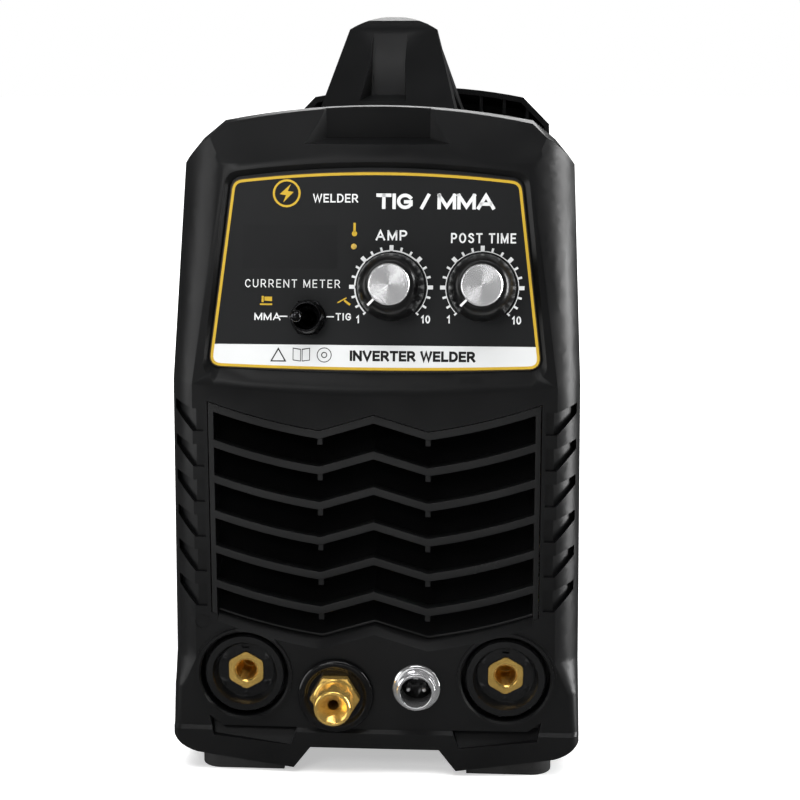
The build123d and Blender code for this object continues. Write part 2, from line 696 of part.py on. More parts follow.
def handle_taper():
    """Front views of the two halves, run out along the handle."""
    with BuildPart() as taper:
        extrude(handle_view((36.4, 268), (31.0, 289), (21.0, 325), 331.2), amount=160)
        extrude(handle_view((34.0, 268), (28.0, 284), (15.6, 322), 331.2), amount=-160)
    return taper.part


def handle_plan():
    """Plan of the handle: narrow grip between two wide posts."""
    with BuildPart() as plan:
        with BuildSketch(Plane.XY.offset(250)) as outline:
            with BuildLine():
                Polyline((13.5, 0), (13.5, -58), (34, -92), (45, -104), (45, -160), (0, -160))
                Polyline((13.5, 0), (13.5, 58), (30, 92), (45, 104), (45, 160), (0, 160))
                mirror(about=Plane.YZ)
            make_face()
        extrude(outline.sketch, amount=120)
    return plan.part


def handle_recess():
    """Hollow in the leaning front face: nothing at the top, deep above its shelf."""
    with BuildPart() as recess:
        with BuildSketch(Plane.XY.offset(280)) as plan:
            Polygon((-15.6, -130), (-9.4, -97), (-9.4, -70), (6.8, -70), (6.8, -97), (9.2, -130),
                    align=None)
        extrude(plan.sketch, amount=60)
        with BuildSketch(SIDE_VIEW) as side:
            Polygon((-160, 289), (-121, 291.6), (-97, 294.4), (-79.0, 328.0), (-79.0, 345), (-160, 345),
                    align=None)
        extrude(side.sketch, amount=60, both=True, mode=Mode.INTERSECT)
    return recess.part


def make_handle():
    taper = handle_taper()
    plan = handle_plan()
    recess = handle_recess()
    with BuildPart() as handle:
        with BuildSketch(SIDE_VIEW) as profile:
            with BuildLine():
                Polyline((0, HANDLE_TOP), (-69, HANDLE_TOP), (-75.5, 329.2), (-78.5, 325.6),
                         (-148, CASE_TOP), (-104, CASE_TOP), (-62, 311.5), (0, 311.5))
                mirror(about=Plane.YZ)
            make_face()
        extrude(profile.sketch, amount=60, both=True)
        add(taper, mode=Mode.INTERSECT)
        add(plan, mode=Mode.INTERSECT)
        add(recess, mode=Mode.SUBTRACT)
        for y in (-132, 132):
            with Locations((-18, y, CASE_TOP), (18, y, CASE_TOP)):
                Cylinder(2.2, 16, mode=Mode.SUBTRACT)
    return handle


def make_handle_screws():
    with BuildPart() as screws:
        for y in (-132, 132):
            with Locations((-18, y, CASE_TOP - SHEET), (18, y, CASE_TOP - SHEET)):
                Cylinder(2.1, 8.4, align=ON_FACE)
                Cylinder(4.2, 2.6, align=(Align.CENTER, Align.CENTER, Align.MAX))
    return screws


# ---- case ------------------------------------------------------------------------------
def case_outline(inset):
    half = CASE_HALF - inset
    with BuildSketch(front_plane(y=CASE_FRONT)) as outline:
        with BuildLine():
            Line((-half, FLOOR_Z), (-half, CASE_TOP - CASE_R))
            bend = (CASE_R - inset) * (1 - cos(radians(45)))
            top = CASE_TOP - inset
            ThreePointArc((-half, CASE_TOP - CASE_R), (-half + bend, top - bend),
                          (-CASE_HALF + CASE_R, top))
            Line((-CASE_HALF + CASE_R, top), (CASE_HALF - CASE_R, top))
            ThreePointArc((CASE_HALF - CASE_R, top), (half - bend, top - bend),
                          (half, CASE_TOP - CASE_R))
            Line((half, CASE_TOP - CASE_R), (half, FLOOR_Z))
            Line((half, FLOOR_Z), (-half, FLOOR_Z))
        make_face()
    return outline.sketch


SIDE_SCREW_Y = (-120, -40, 40, 120)


def make_case_cover():
    """Folded cover, open below, with vent slots pressed through both sides."""
    with BuildPart() as cover:
        length = CASE_REAR - CASE_FRONT
        extrude(case_outline(0.0), amount=-length)
        extrude(case_outline(SHEET), amount=-length, mode=Mode.SUBTRACT)
        block((-CASE_HALF + SHEET, CASE_FRONT, 0),
              (CASE_HALF - SHEET, CASE_REAR, 100), mode=Mode.SUBTRACT)
        for y in (-95, 85):
            side = Plane(origin=(0, y, 120), x_dir=(0, 1, 0), z_dir=(1, 0, 0))
            with BuildSketch(side) as slots:
                with GridLocations(12, 54, 7, 3):
                    SlotOverall(42, 4.2, rotation=90)
            extrude(slots.sketch, amount=100, both=True, mode=Mode.SUBTRACT)
        for y in SIDE_SCREW_Y:
            with Locations(Plane(origin=(0, y, 28), z_dir=(1, 0, 0))):
                Cylinder(2.1, 200, mode=Mode.SUBTRACT)
        for y in (-132, 132):
            with Locations((-18, y, CASE_TOP), (18, y, CASE_TOP)):
                Cylinder(2.3, 10, mode=Mode.SUBTRACT)
    return cover


def make_chassis():
    """Floor tray with folded sides inside the cover."""
    half = CASE_HALF - SHEET
    with BuildPart() as chassis:
        block((-half, CASE_FRONT + 2, FLOOR_Z), (half, CASE_REAR - 2, FLOOR_Z + 24))
        block((-half + 1.5, CASE_FRONT, FLOOR_Z + 1.5),
              (half - 1.5, CASE_REAR, FLOOR_Z + 60), mode=Mode.SUBTRACT)
        # tongues that reach over the bezels' floors
        block((-30, -186, FLOOR_Z), (30, CASE_FRONT + 3, FLOOR_Z + 1.5))
        block((-30, CASE_REAR - 3, FLOOR_Z), (30, 186, FLOOR_Z + 1.5))
        with Locations((-20, -175, FLOOR_Z), (20, -175, FLOOR_Z), (-20, 178, FLOOR_Z), (20, 178, FLOOR_Z)):
            Cylinder(2.1, 10, mode=Mode.SUBTRACT)
        for y in SIDE_SCREW_Y:
            with Locations(Plane(origin=(0, y, 28), z_dir=(1, 0, 0))):
                Cylinder(2.1, 200, mode=Mode.SUBTRACT)
    return chassis


def make_m4_screws():
    """Pan head M4 screws: four on each side of the case and four round the fan."""
    with BuildPart() as screws:
        for side in (-1, 1):
            for y in SIDE_SCREW_Y:
                spot = Plane(origin=(side * CASE_HALF, y, 28), z_dir=(side, 0, 0))
                rod(spot, 2.0, -7.0, 0.0)
                rod(spot, 4.0, 0.0, 2.4)
                plate(spot, 5.0, 1.1, 1.3, 3.0, mode=Mode.SUBTRACT)
        for dx in (-FAN_SCREW, FAN_SCREW):
            for dz in (-FAN_SCREW, FAN_SCREW):
                spot = rear_plane(dx, FAN_Z + dz)
                rod(spot, 2.0, -30.0, 2.0)
                rod(spot, 4.0, 2.0, 4.4)
                plate(spot, 5.0, 1.1, 3.3, 5.0, mode=Mode.SUBTRACT)
    return screws


def make_bezel_screws():
    with BuildPart() as screws:
        with Locations((-20, -175, 12), (20, -175, 12), (-20, 178, 12), (20, 178, 12)):
            Cylinder(2.0, 10, align=ON_FACE)
            Cylinder(4.0, 2.6, align=(Align.CENTER, Align.CENTER, Align.MAX))
    return screws


def one_foot(side, end):
    """Pad under one leg: its top follows the leg, its outer corner is rounded."""
    slope = (LEG_OUTER[1] - LEG_INNER[1]) / (LEG_OUTER[0] - LEG_INNER[0])
    tops = [(x, LEG_INNER[1] + slope * (x - LEG_INNER[0]) - 0.002) for x in (40.6, 78.2)]
    with BuildPart() as foot:
        with BuildSketch(front_plane(y=end * 209.0)) as profile:
            Polygon((side * tops[0][0], 0), (side * tops[1][0], 0), (side * tops[1][0], tops[1][1]),
                    (side * tops[0][0], tops[0][1]), align=None)
        extrude(profile.sketch, amount=end * 32.0)
        corner = foot.edges().filter_by(Axis.Z).sort_by(
            lambda edge: abs(edge.center().X) + abs(edge.center().Y))[-1]
        fillet(corner, 9.0)
    return foot.part


def make_feet():
    """Four rubber pads under the legs of the bezels."""
    pads = [one_foot(side, end) for side in (-1, 1) for end in (-1, 1)]
    with BuildPart() as feet:
        for pad in pads:
            add(pad)
    return feet


# ---- rear bezel and what it carries ----------------------------------------------------
REAR_SECTIONS = ((-6, 89.0), (CREASE_Z, 85.5), (305, 80.3))


def rear_form(inset=0.0):
    face = 4.0 if inset else 0.0
    rim = REAR_RIM - (1.0 if inset else 0.0)
    with BuildPart() as form:
        for low, high in zip(REAR_SECTIONS, REAR_SECTIONS[1:]):
            sections = [plan_section(z, half - inset, REAR - face, rim, ROUND_CORNER, 0.0, False)
                        for z, half in (low, high)]
            loft(sections, ruled=True)
        if inset:
            loft([bezel_outline(rim, 290.3, ((64.0, 283.6), (78.9, 268.6), (88.0, 259.4)), inset),
                  bezel_outline(REAR + 5, 280.3, ((62.0, 277.6), (77.9, 266.6), (88.0, 259.6)), inset)],
                 ruled=True, mode=Mode.INTERSECT)
        else:
            loft([bezel_outline(rim, 293.3, ((65.4, 286.8), (81.5, 270.6), (91.0, 261.0))),
                  bezel_outline(REAR + 5, 283.3, ((63.4, 280.8), (80.5, 268.6), (91.0, 261.0)))],
                 ruled=True, mode=Mode.INTERSECT)
    return form.part


def collar_rib(x, form):
    """Upright rib between the case top and the collar."""
    with BuildPart() as rib:
        block((x - 1.0, REAR_RIM + 1.0, CASE_TOP + 0.5), (x + 1.0, REAR_RIM + 30, 292))
        add(form, mode=Mode.INTERSECT)
    return rib.part


def make_rear_bezel():
    form = rear_form()
    cavity = rear_form(WALL)
    ribs = [collar_rib(x, form) for x in (-68, -53.5, -39, 39, 53.5, 68)]
    with BuildPart() as bezel:
        add(form)
        add(cavity, mode=Mode.SUBTRACT)
        # ribs between the collar and the case
        for rib in ribs:
            add(rib)
        rod(rear_plane(0, FAN_Z), 43.5, -10.0, 5.0, mode=Mode.SUBTRACT)
        for dx in (-FAN_SCREW, FAN_SCREW):
            for dz in (-FAN_SCREW, FAN_SCREW):
                rod(rear_plane(dx, FAN_Z + dz), 2.1, -10.0, 5.0, mode=Mode.SUBTRACT)
        plate(rear_plane(BREAKER_X, BREAKER_Z), 36.6, 45.6, -10.0, 5.0, mode=Mode.SUBTRACT)
        rod(rear_plane(GLAND_X, GLAND_Z), 10.1, -10.0, 5.0, mode=Mode.SUBTRACT)
        rod(rear_plane(INLET_X, INLET_Z), 5.1, -10.0, 5.0, mode=Mode.SUBTRACT)
        rod(rear_plane(EARTH_X, EARTH_Z), 3.1, -10.0, 5.0, mode=Mode.SUBTRACT)
        with Locations((-20, 178, 0), (20, 178, 0)):
            Cylinder(2.1, 40, mode=Mode.SUBTRACT)
    return bezel


def make_fan_guard():
    """Welded wire guard: rings, two cross wires and four eyelets."""
    spot = rear_plane(0, FAN_Z)
    wire = 1.0
    with BuildPart() as guard:
        for angle in (45, 135):
            with Locations(Plane(origin=(0, REAR + 1.3, FAN_Z),
                                 z_dir=(cos(radians(angle)), 0, sin(radians(angle))))):
                Cylinder(wire, 108.0)
        for radius in (10.0, 18.5, 27.0, 35.5, 44.0):
            with Locations(spot.offset(2.7)):
                Torus(radius, wire)
        for dx in (-FAN_SCREW, FAN_SCREW):
            for dz in (-FAN_SCREW, FAN_SCREW):
                rod(rear_plane(dx, FAN_Z + dz), 4.6, 0.0, 2.0)
                rod(rear_plane(dx, FAN_Z + dz), 2.1, -3.0, 4.0, mode=Mode.SUBTRACT)
    return guard


def make_fan_frame():
    spot = rear_plane(0, FAN_Z, y=206)
    with BuildPart() as frame:
        plate(spot, FAN_SIZE, FAN_SIZE, -25.4, 0.0, 5.0)
        rod(spot, 44.4, -30.0, 5.0, mode=Mode.SUBTRACT)
        rod(spot, 18.0, -25.4, -21.5)
        rod(spot, 5.0, -21.5, -8.0)
        for angle in (0, 90):
            with Locations(Plane(origin=(0, 206 - 23.5, FAN_Z),
                                 z_dir=(cos(radians(angle)), 0, sin(radians(angle))))):
                Cylinder(1.8, 89.6)
        rod(spot, 1.55, -30.0, 0.0, mode=Mode.SUBTRACT)
        for dx in (-FAN_SCREW, FAN_SCREW):
            for dz in (-FAN_SCREW, FAN_SCREW):
                rod(rear_plane(dx, FAN_Z + dz), 2.1, -40.0, 5.0, mode=Mode.SUBTRACT)
    return frame


def make_fan_rotor():
    """Hub cup with seven pitched blades and the shaft that runs in the frame."""
    spot = rear_plane(0, FAN_Z, y=206)
    with BuildPart() as rotor:
        for index in range(7):
            angle = index * 360 / 7
            radial = Plane(origin=(0, 206 - 11.0, FAN_Z),
                           z_dir=(cos(radians(angle)), 0, sin(radians(angle))),
                           x_dir=(0, 1, 0))
            with BuildSketch(radial.offset(15.0)) as root:
                Rectangle(15.0, 1.6, rotation=38)
            with BuildSketch(radial.offset(42.5)) as tip:
                Rectangle(20.0, 1.2, rotation=56)
            loft([root.sketch, tip.sketch])
        rod(spot, 19.0, -21.0, -2.0)
        rod(spot, 17.0, -22.0, -4.0, mode=Mode.SUBTRACT)
        rod(spot, 1.5, -24.0, -3.0)
    return rotor


def make_breaker_body():
    """Two pole breaker: stepped case with a nose that shows through the window."""
    with BuildPart() as breaker:
        low_x, high_x = BREAKER_X - 18.0, BREAKER_X + 18.0
        block((low_x, 150, BREAKER_Z - 38), (high_x, 205, BREAKER_Z + 38))
        block((low_x, 200, BREAKER_Z - 22.5), (high_x, 212, BREAKER_Z + 22.5))
        block((BREAKER_X - 12.5, 201, BREAKER_Z - 11), (BREAKER_X + 12.5, 214, BREAKER_Z + 11),
              mode=Mode.SUBTRACT)
        # the slot between the poles
        block((BREAKER_X - 0.3, 211, BREAKER_Z - 22.5), (BREAKER_X + 0.3, 213, BREAKER_Z + 22.5),
              mode=Mode.SUBTRACT)
    return breaker


def make_breaker_lever():
    """Drum and paddle, joined across both poles; stored in its lower, off position."""
    with BuildPart() as lever:
        tilt = radians(BREAKER_TILT)
        paddle = Plane(origin=(BREAKER_X, BREAKER_PIVOT_Y, BREAKER_Z), z_dir=(1, 0, 0),
                       x_dir=(0, cos(tilt), -sin(tilt)))
        rod(paddle, 5.6, -12.0, 12.0)
        with BuildSketch(paddle.offset(-10.5)) as blade:
            with Locations((9.5, 0)):
                RectangleRounded(13.0, 4.4, 1.6)
        extrude(blade.sketch, amount=21.0)
    return lever


def make_cable_gland():
    """Plastic gland for the mains lead, clamped through the rear wall."""
    spot = rear_plane(GLAND_X, GLAND_Z)
    with BuildPart() as gland:
        hexagon(spot, 27.0, 0.0, 6.0)
        rod(spot, 12.2, 6.0, 14.0)
        cone(spot, 12.2, 9.0, 14.0, 19.6)
        rod(spot, 10.0, -14.0, 0.0)
        hexagon(spot, 27.0, -10.0, -4.0)
        rod(spot, 5.2, -15.0, 22.0, mode=Mode.SUBTRACT)
        with Locations(spot.offset(6.0)):
            with PolarLocations(12.4, 12):
                Cylinder(0.8, 8.0, align=ON_FACE, mode=Mode.SUBTRACT)
    return gland


def make_gas_inlet():
    """Brass hose tail outside, hexagon on the wall, pipe to the valve inside."""
    spot = rear_plane(INLET_X, INLET_Z)
    with BuildPart() as inlet:
        hexagon(spot, 14.0, 0.0, 4.5)
        rod(spot, 3.6, 4.5, 19.8)
        for step in range(3):
            start = 6.4 + step * 4.4
            cone(spot, 4.7, 3.7, start, start + 3.9)
        rod(spot, 5.0, -20.0, 0.0)
        hexagon(spot, 14.0, -8.0, -4.0)
        rod(spot, 2.0, -21.0, 20.0, mode=Mode.SUBTRACT)
    return inlet


VALVE_Y = 175.0


def valve_stem():
    """Plane on top of the valve body, at the stem's foot."""
    return Plane(origin=(INLET_X, VALVE_Y, INLET_Z + 10))


def make_valve_body():
    with BuildPart() as valve:
        block((INLET_X - 14, VALVE_Y - 15, INLET_Z - 12), (INLET_X + 14, VALVE_Y + 15, INLET_Z + 10))
        rod(rear_plane(INLET_X, INLET_Z, y=VALVE_Y - 15), 3.6, -14.0, 0.0)
        rod(rear_plane(INLET_X, INLET_Z, y=VALVE_Y + 15), 2.0, -50.0, 0.5, mode=Mode.SUBTRACT)
        rod(valve_stem(), 7.0, 0.0, 25.0)
        rod(valve_stem(), 4.6, -6.0, 23.0, mode=Mode.SUBTRACT)
        block((INLET_X - 10, VALVE_Y - 9, FLOOR_Z + 1.5), (INLET_X + 10, VALVE_Y + 9, INLET_Z - 12))
    return valve


def make_valve_coil():
    with BuildPart() as coil:
        plate(valve_stem(), 28.0, 24.0, 0.6, 22.0, 3.0)
        rod(valve_stem(), 9.5, 22.0, 23.5)
        rod(valve_stem(), 7.05, 0.0, 25.0, mode=Mode.SUBTRACT)
    return coil


def make_valve_plunger():
    with BuildPart() as plunger:
        rod(valve_stem(), 4.55, -5.8, 18.0)
        cone(valve_stem(), 4.55, 3.4, 18.0, 19.6)
    return plunger


def make_gas_hose():
    """Hose from the valve to the front connector, along the right side of the floor."""
    route = [(INLET_X, 146, INLET_Z), (INLET_X, 112, INLET_Z), (50, 70, 28), (50, -76, 28),
             (8, -128, GAS_Z), (GAS_X, -156, GAS_Z), (GAS_X, -180, GAS_Z)]
    with BuildPart() as hose:
        with BuildLine() as line:
            FilletPolyline(*route, radius=[26, 30, 40, 28, 14])
        with BuildSketch(Plane(origin=route[0], z_dir=(0, -1, 0))) as ring:
            Circle(5.6)
            Circle(3.65, mode=Mode.SUBTRACT)
        sweep(ring.sketch, path=line.line)
    return hose


def make_earth_stud():
    spot = rear_plane(EARTH_X, EARTH_Z)
    with BuildPart() as stud:
        rod(spot, 3.0, -12.0, 18.4)
        cone(spot, 3.0, 2.4, 18.4, 19.2)
        rod(spot, 6.4, 0.0, 1.4)
        hexagon(spot, 10.0, 1.4, 6.2)
        hexagon(spot, 10.0, -9.0, -4.0)
    return stud


# ---- power electronics -----------------------------------------------------------------
def make_power_board():
    with BuildPart() as board:
        block((-70, -130, BOARD_Z), (70, 130, BOARD_Z + 1.6))
        for x in (-62, 62):
            for y in (-120, 0, 120):
                with Locations((x, y, BOARD_Z)):
                    Cylinder(1.6, 10, mode=Mode.SUBTRACT)
    return board


def make_standoffs():
    """Tall hexagon standoffs from the chassis floor to the power board."""
    with BuildPart() as standoffs:
        for x in (-62, 62):
            for y in (-120, 0, 120):
                base = Plane(origin=(x, y, FLOOR_Z + 1.5))
                hexagon(base, 7.0, 0.0, BOARD_Z - FLOOR_Z - 1.5)
                rod(base, 1.5, BOARD_Z - FLOOR_Z - 2, BOARD_Z - FLOOR_Z + 6)
    return standoffs


def make_heatsinks():
    """Two finned extrusions, mirrored, with their flat backs towards the middle."""
    with BuildPart() as sinks:
        for side in (-1, 1):
            low, high = sorted((side * 28.0, side * 33.0))
            block((low, -95, BOARD_Z + 6), (high, 95, BOARD_Z + 62))
            for fin in range(8):
                z = BOARD_Z + 8 + fin * 7.2
                low, high = sorted((side * 33.0, side * 60.0))
                block((low, -95, z), (high, 95, z + 2.0))
            for y in (-80, 80):
                low, high = sorted((side * 29.0, side * 32.0))
                block((low, y - 3, BOARD_Z + 1.6), (high, y + 3, BOARD_Z + 6))
    return sinks


def make_transistors():
    with BuildPart() as devices:
        for side in (-1, 1):
            for y in (-75, -45, -15, 15, 45, 75):
                low, high = sorted((side * 23.0, side * 28.0))
                block((low, y - 8, BOARD_Z + 22), (high, y + 8, BOARD_Z + 43))
                for dy in (-5.4, 0, 5.4):
                    low, high = sorted((side * 24.6, side * 25.4))
                    block((low, y + dy - 0.6, BOARD_Z + 1.6), (high, y + dy + 0.6, BOARD_Z + 22))
    return devices


def make_capacitors():
    with BuildPart() as cans:
        for y in (-55, 0, 55):
            with Locations((0, y, BOARD_Z + 1.6)):
                Cylinder(17.0, 48.0, align=ON_FACE)
            with Locations((0, y, BOARD_Z + 49.6)):
                Cylinder(14.5, 1.2, align=ON_FACE, mode=Mode.SUBTRACT)
    return cans


def make_transformer():
    """Ferrite core round a taped winding."""
    floor = FLOOR_Z + 1.5
    with BuildPart() as transformer:
        block((-44, 20, floor), (16, 90, floor + 70))
        winding = Plane(origin=(-14, 55, floor + 35), x_dir=(0, 1, 0), z_dir=(1, 0, 0))
        plate(winding, 46, 46, -41, 41, 6)
    return transformer


def make_choke():
    """Toroidal output choke, lying on the floor."""
    with BuildPart() as choke:
        with Locations((-30, -46, FLOOR_Z + 1.5 + 17)):
            Torus(24.0, 14.0)
            Cylinder(30.0, 34.0, mode=Mode.ADD)
            Cylinder(12.0, 60.0, mode=Mode.SUBTRACT)
    return choke


def make_hf_coil():
    """High frequency coupling coil in a potted square housing."""
    with BuildPart() as coil:
        with BuildSketch(Plane.XY.offset(FLOOR_Z + 1.5)) as base:
            with Locations((26, -38)):
                RectangleRounded(30, 44, 4)
        extrude(base.sketch, amount=42)
        with Locations((26, -38, FLOOR_Z + 43.5)):
            Cylinder(9.0, 6.0, align=ON_FACE)
            Cylinder(5.0, 20.0, mode=Mode.SUBTRACT)
    return coil


def make_busbars():
    """Copper straps from the sockets back and up to the power board."""
    with BuildPart() as straps:
        for side in (-1, 1):
            low, high = sorted((side * (SOCKET_X - 9), side * (SOCKET_X + 9)))
            block((low, FRONT + 46.2, SOCKET_Z - 11), (high, FRONT + 48.2, 100))
            rod(front_plane(side * SOCKET_X, SOCKET_Z), 7.1, -60.0, -30.0, mode=Mode.SUBTRACT)
            low, high = sorted((side * (SOCKET_X - 13), side * (SOCKET_X - 2)))
            block((low, FRONT + 46.2, 98), (high, -104, 100))
            block((low, -106, 98), (high, -104, BOARD_Z))
    return straps


def main():
    os.makedirs("parts", exist_ok=True)
    save(make_front_bezel(), "front_bezel")
    save(make_louvre_grille(), "louvre_grille")
    save(make_faceplate(), "control_faceplate")
    save(make_display(), "current_meter_display")
    save(make_led(), "overheat_lamp")
    save(make_control_board(), "control_board")
    for name, x in zip(("amp", "post_time"), KNOB_X):
        save(make_potentiometer(x), f"{name}_potentiometer")
        save(make_pot_shaft(x), f"{name}_shaft")
        save(make_knob(x), f"{name}_knob")
        save(make_knob_cap(x), f"{name}_knob_cap")
    save(make_pot_nuts(), "potentiometer_nuts")
    save(make_switch_body(), "mode_switch_body")
    save(make_switch_nut(), "mode_switch_nut")
    save(make_toggle_boot(), "mode_toggle_boot")
    save(make_toggle_lever(), "mode_toggle_lever")
    for name, side in (("left", -1), ("right", 1)):
        save(make_dinse_insulator(side), f"socket_insulator_{name}")
        save(make_dinse_contact(side), f"socket_contact_{name}")
    save(make_key_pins(), "socket_key_pins")
    save(make_lock_rings(), "socket_lock_rings")
    save(make_gas_disc(), "gas_connector_washer")
    save(make_gas_connector(), "gas_connector")
    save(make_gas_nut(), "gas_connector_nut")
    save(make_control_shell(), "control_socket_shell")
    save(make_control_insert(), "control_socket_insert")
    save(make_control_pins(), "control_socket_pins")
    save(make_handle(), "handle")
    save(make_handle_screws(), "handle_screws")
    save(make_case_cover(), "case_cover")
    save(make_chassis(), "base_chassis")
    save(make_m4_screws(), "m4_screws")
    save(make_bezel_screws(), "bezel_screws")
    save(make_feet(), "rubber_feet")
    save(make_rear_bezel(), "rear_bezel")
    save(make_fan_guard(), "fan_guard")
    save(make_fan_frame(), "fan_frame")
    save(make_fan_rotor(), "fan_rotor")
    save(make_breaker_body(), "breaker_body")
    save(make_breaker_lever(), "breaker_lever")
    save(make_cable_gland(), "cable_gland")
    save(make_gas_inlet(), "gas_inlet")
    save(make_valve_body(), "gas_valve_body")
    save(make_valve_coil(), "gas_valve_coil")
    save(make_valve_plunger(), "gas_valve_plunger")
    save(make_gas_hose(), "gas_hose")
    save(make_earth_stud(), "earth_stud")
    save(make_power_board(), "power_board")
    save(make_standoffs(), "board_standoffs")
    save(make_heatsinks(), "heatsinks")
    save(make_transistors(), "power_transistors")
    save(make_capacitors(), "bulk_capacitors")
    save(make_transformer(), "main_transformer")
    save(make_choke(), "output_choke")
    save(make_hf_coil(), "hf_coil")
    save(make_busbars(), "output_busbars")


main()
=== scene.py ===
import json
import math
import bmesh
import bpy
from mathutils import Matrix, Vector


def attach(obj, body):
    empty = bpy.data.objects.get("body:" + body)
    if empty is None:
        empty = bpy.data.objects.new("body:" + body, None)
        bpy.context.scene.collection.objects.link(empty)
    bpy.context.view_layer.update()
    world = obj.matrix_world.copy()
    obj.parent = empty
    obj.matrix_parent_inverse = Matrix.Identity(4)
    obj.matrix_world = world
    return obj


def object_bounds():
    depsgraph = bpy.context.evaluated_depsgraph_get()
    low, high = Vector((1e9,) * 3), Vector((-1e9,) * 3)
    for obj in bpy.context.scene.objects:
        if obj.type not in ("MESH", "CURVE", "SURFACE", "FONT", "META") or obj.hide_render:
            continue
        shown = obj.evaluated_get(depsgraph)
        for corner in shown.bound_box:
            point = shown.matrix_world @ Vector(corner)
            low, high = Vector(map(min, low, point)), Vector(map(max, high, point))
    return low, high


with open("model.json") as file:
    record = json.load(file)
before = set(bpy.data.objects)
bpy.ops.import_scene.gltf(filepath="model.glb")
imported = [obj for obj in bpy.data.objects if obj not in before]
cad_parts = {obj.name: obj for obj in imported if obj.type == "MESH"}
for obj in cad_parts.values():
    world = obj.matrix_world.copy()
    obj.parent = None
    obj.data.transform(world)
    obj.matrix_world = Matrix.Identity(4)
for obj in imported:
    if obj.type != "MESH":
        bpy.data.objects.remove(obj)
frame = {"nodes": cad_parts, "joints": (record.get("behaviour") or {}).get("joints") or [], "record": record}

# Portable tig welder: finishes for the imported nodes, the printed label, and the small
# details that ride on them. X right, Y back, Z up; metres, with MM for lengths in millimetres.

MM = 0.001
CAD_LOW, CAD_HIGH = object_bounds()
JOINTS = {joint["name"]: joint for joint in frame["joints"]}
NODES = frame["nodes"]


# ---- places taken from the frame -------------------------------------------------------
def joint_spot(name):
    return Vector(JOINTS[name]["pos_m"])


RIGHT = Vector((1, 0, 0))
OUT = -Vector(JOINTS["amp_turn"]["axis"]).normalized()     # out of the leaning panel
UP = OUT.cross(RIGHT)                                      # up along the panel
AMP_DIAL = joint_spot("amp_turn")
POST_DIAL = joint_spot("post_time_turn")
DIAL_UP = 42.3          # height of the dials above the foot of the panel, millimetres
PLATE_OUT = -1.4        # face of the label plate, from the panel's own surface


def on_panel(x, up, out=0.0):
    """A point on the leaning panel: x across, up along it, out of it, in millimetres."""
    return (Vector((x * MM, AMP_DIAL.y, AMP_DIAL.z))
            + UP * ((up - DIAL_UP) * MM) + OUT * (out * MM))


def panel_matrix(x, up, out=0.0, turn=0.0):
    axes = Matrix((RIGHT, UP, OUT)).transposed().to_4x4()
    return Matrix.Translation(on_panel(x, up, out)) @ axes @ Matrix.Rotation(turn, 4, "Z")


# ---- camera, light and floor -----------------------------------------------------------
CAMERA_AT = Vector((0.0550, -0.919, 0.3133))
CAMERA_TILT = math.radians(78.53)
CAMERA_PAN = math.radians(3.53)
CAMERA_LENS = 76.7
CAMERA_SENSOR = 36.0
ROOM_LIGHT = 0.08       # strength of the white that surrounds the object
SUN_POWER = 3.7
SUN_SPREAD = math.radians(70)
MIDDLE = (0, 0, 0.17)   # where most lamps point
LAMPS = (    # name, place, target, width, height, power
    ("left_box", (-1.6, -0.6, 0.35), MIDDLE, 0.9, 1.2, 8),
    ("right_tall", (1.5, -0.1, 0.35), (0, -0.1, 0.2), 0.4, 1.3, 30),
    ("front_low", (-0.5, -1.9, -0.28), MIDDLE, 1.6, 0.25, 1.5),
    ("front_card", (-0.55, -1.5, 1.0), MIDDLE, 0.7, 0.4, 4),
    ("edge_strip", (0.1, -0.66, 1.65), MIDDLE, 1.6, 0.1, 4),
    ("rear_box", (0.2, 1.7, 1.35), MIDDLE, 1.4, 0.7, 14),
)
FLOOR_RADIUS = 12.0
FLOOR_GAP = 0.0002      # the floor is this far below the feet


def make_camera():
    data = bpy.data.cameras.new("camera")
    data.lens = CAMERA_LENS
    data.sensor_width = CAMERA_SENSOR
    data.clip_start = 0.01
    data.clip_end = 100.0
    camera = bpy.data.objects.new("camera", data)
    camera.matrix_world = (Matrix.Translation(CAMERA_AT)
                           @ Matrix.Rotation(CAMERA_PAN, 4, "Z")
                           @ Matrix.Rotation(CAMERA_TILT, 4, "X"))
    bpy.context.scene.collection.objects.link(camera)
    bpy.context.scene.camera = camera


def area_light(name, at, target, width, height, power):
    data = bpy.data.lights.new(name, "AREA")
    data.shape = "RECTANGLE"
    data.size = width
    data.size_y = height
    data.energy = power
    lamp = bpy.data.objects.new(name, data)
    lamp.location = at
    lamp.rotation_euler = (Vector(target) - Vector(at)).to_track_quat("-Z", "Y").to_euler()
    lamp.visible_camera = False
    bpy.context.scene.collection.objects.link(lamp)


def make_world():
    """White behind the object for the camera, dim all round it for the light."""
    world = bpy.data.worlds.new("studio")
    world.use_nodes = True
    nodes = world.node_tree.nodes
    links = world.node_tree.links
    room = nodes["Background"]
    room.inputs["Color"].default_value = (1.0, 1.0, 1.0, 1.0)
    room.inputs["Strength"].default_value = ROOM_LIGHT
    paper = nodes.new("ShaderNodeBackground")
    paper.inputs["Color"].default_value = (1.0, 1.0, 1.0, 1.0)
    paper.inputs["Strength"].default_value = 1.0
    pick = nodes.new("ShaderNodeMixShader")
    links.new(nodes.new("ShaderNodeLightPath").outputs["Is Camera Ray"], pick.inputs[0])
    links.new(room.outputs["Background"], pick.inputs[1])
    links.new(paper.outputs["Background"], pick.inputs[2])
    links.new(pick.outputs["Shader"], nodes["World Output"].inputs["Surface"])
    bpy.context.scene.world = world


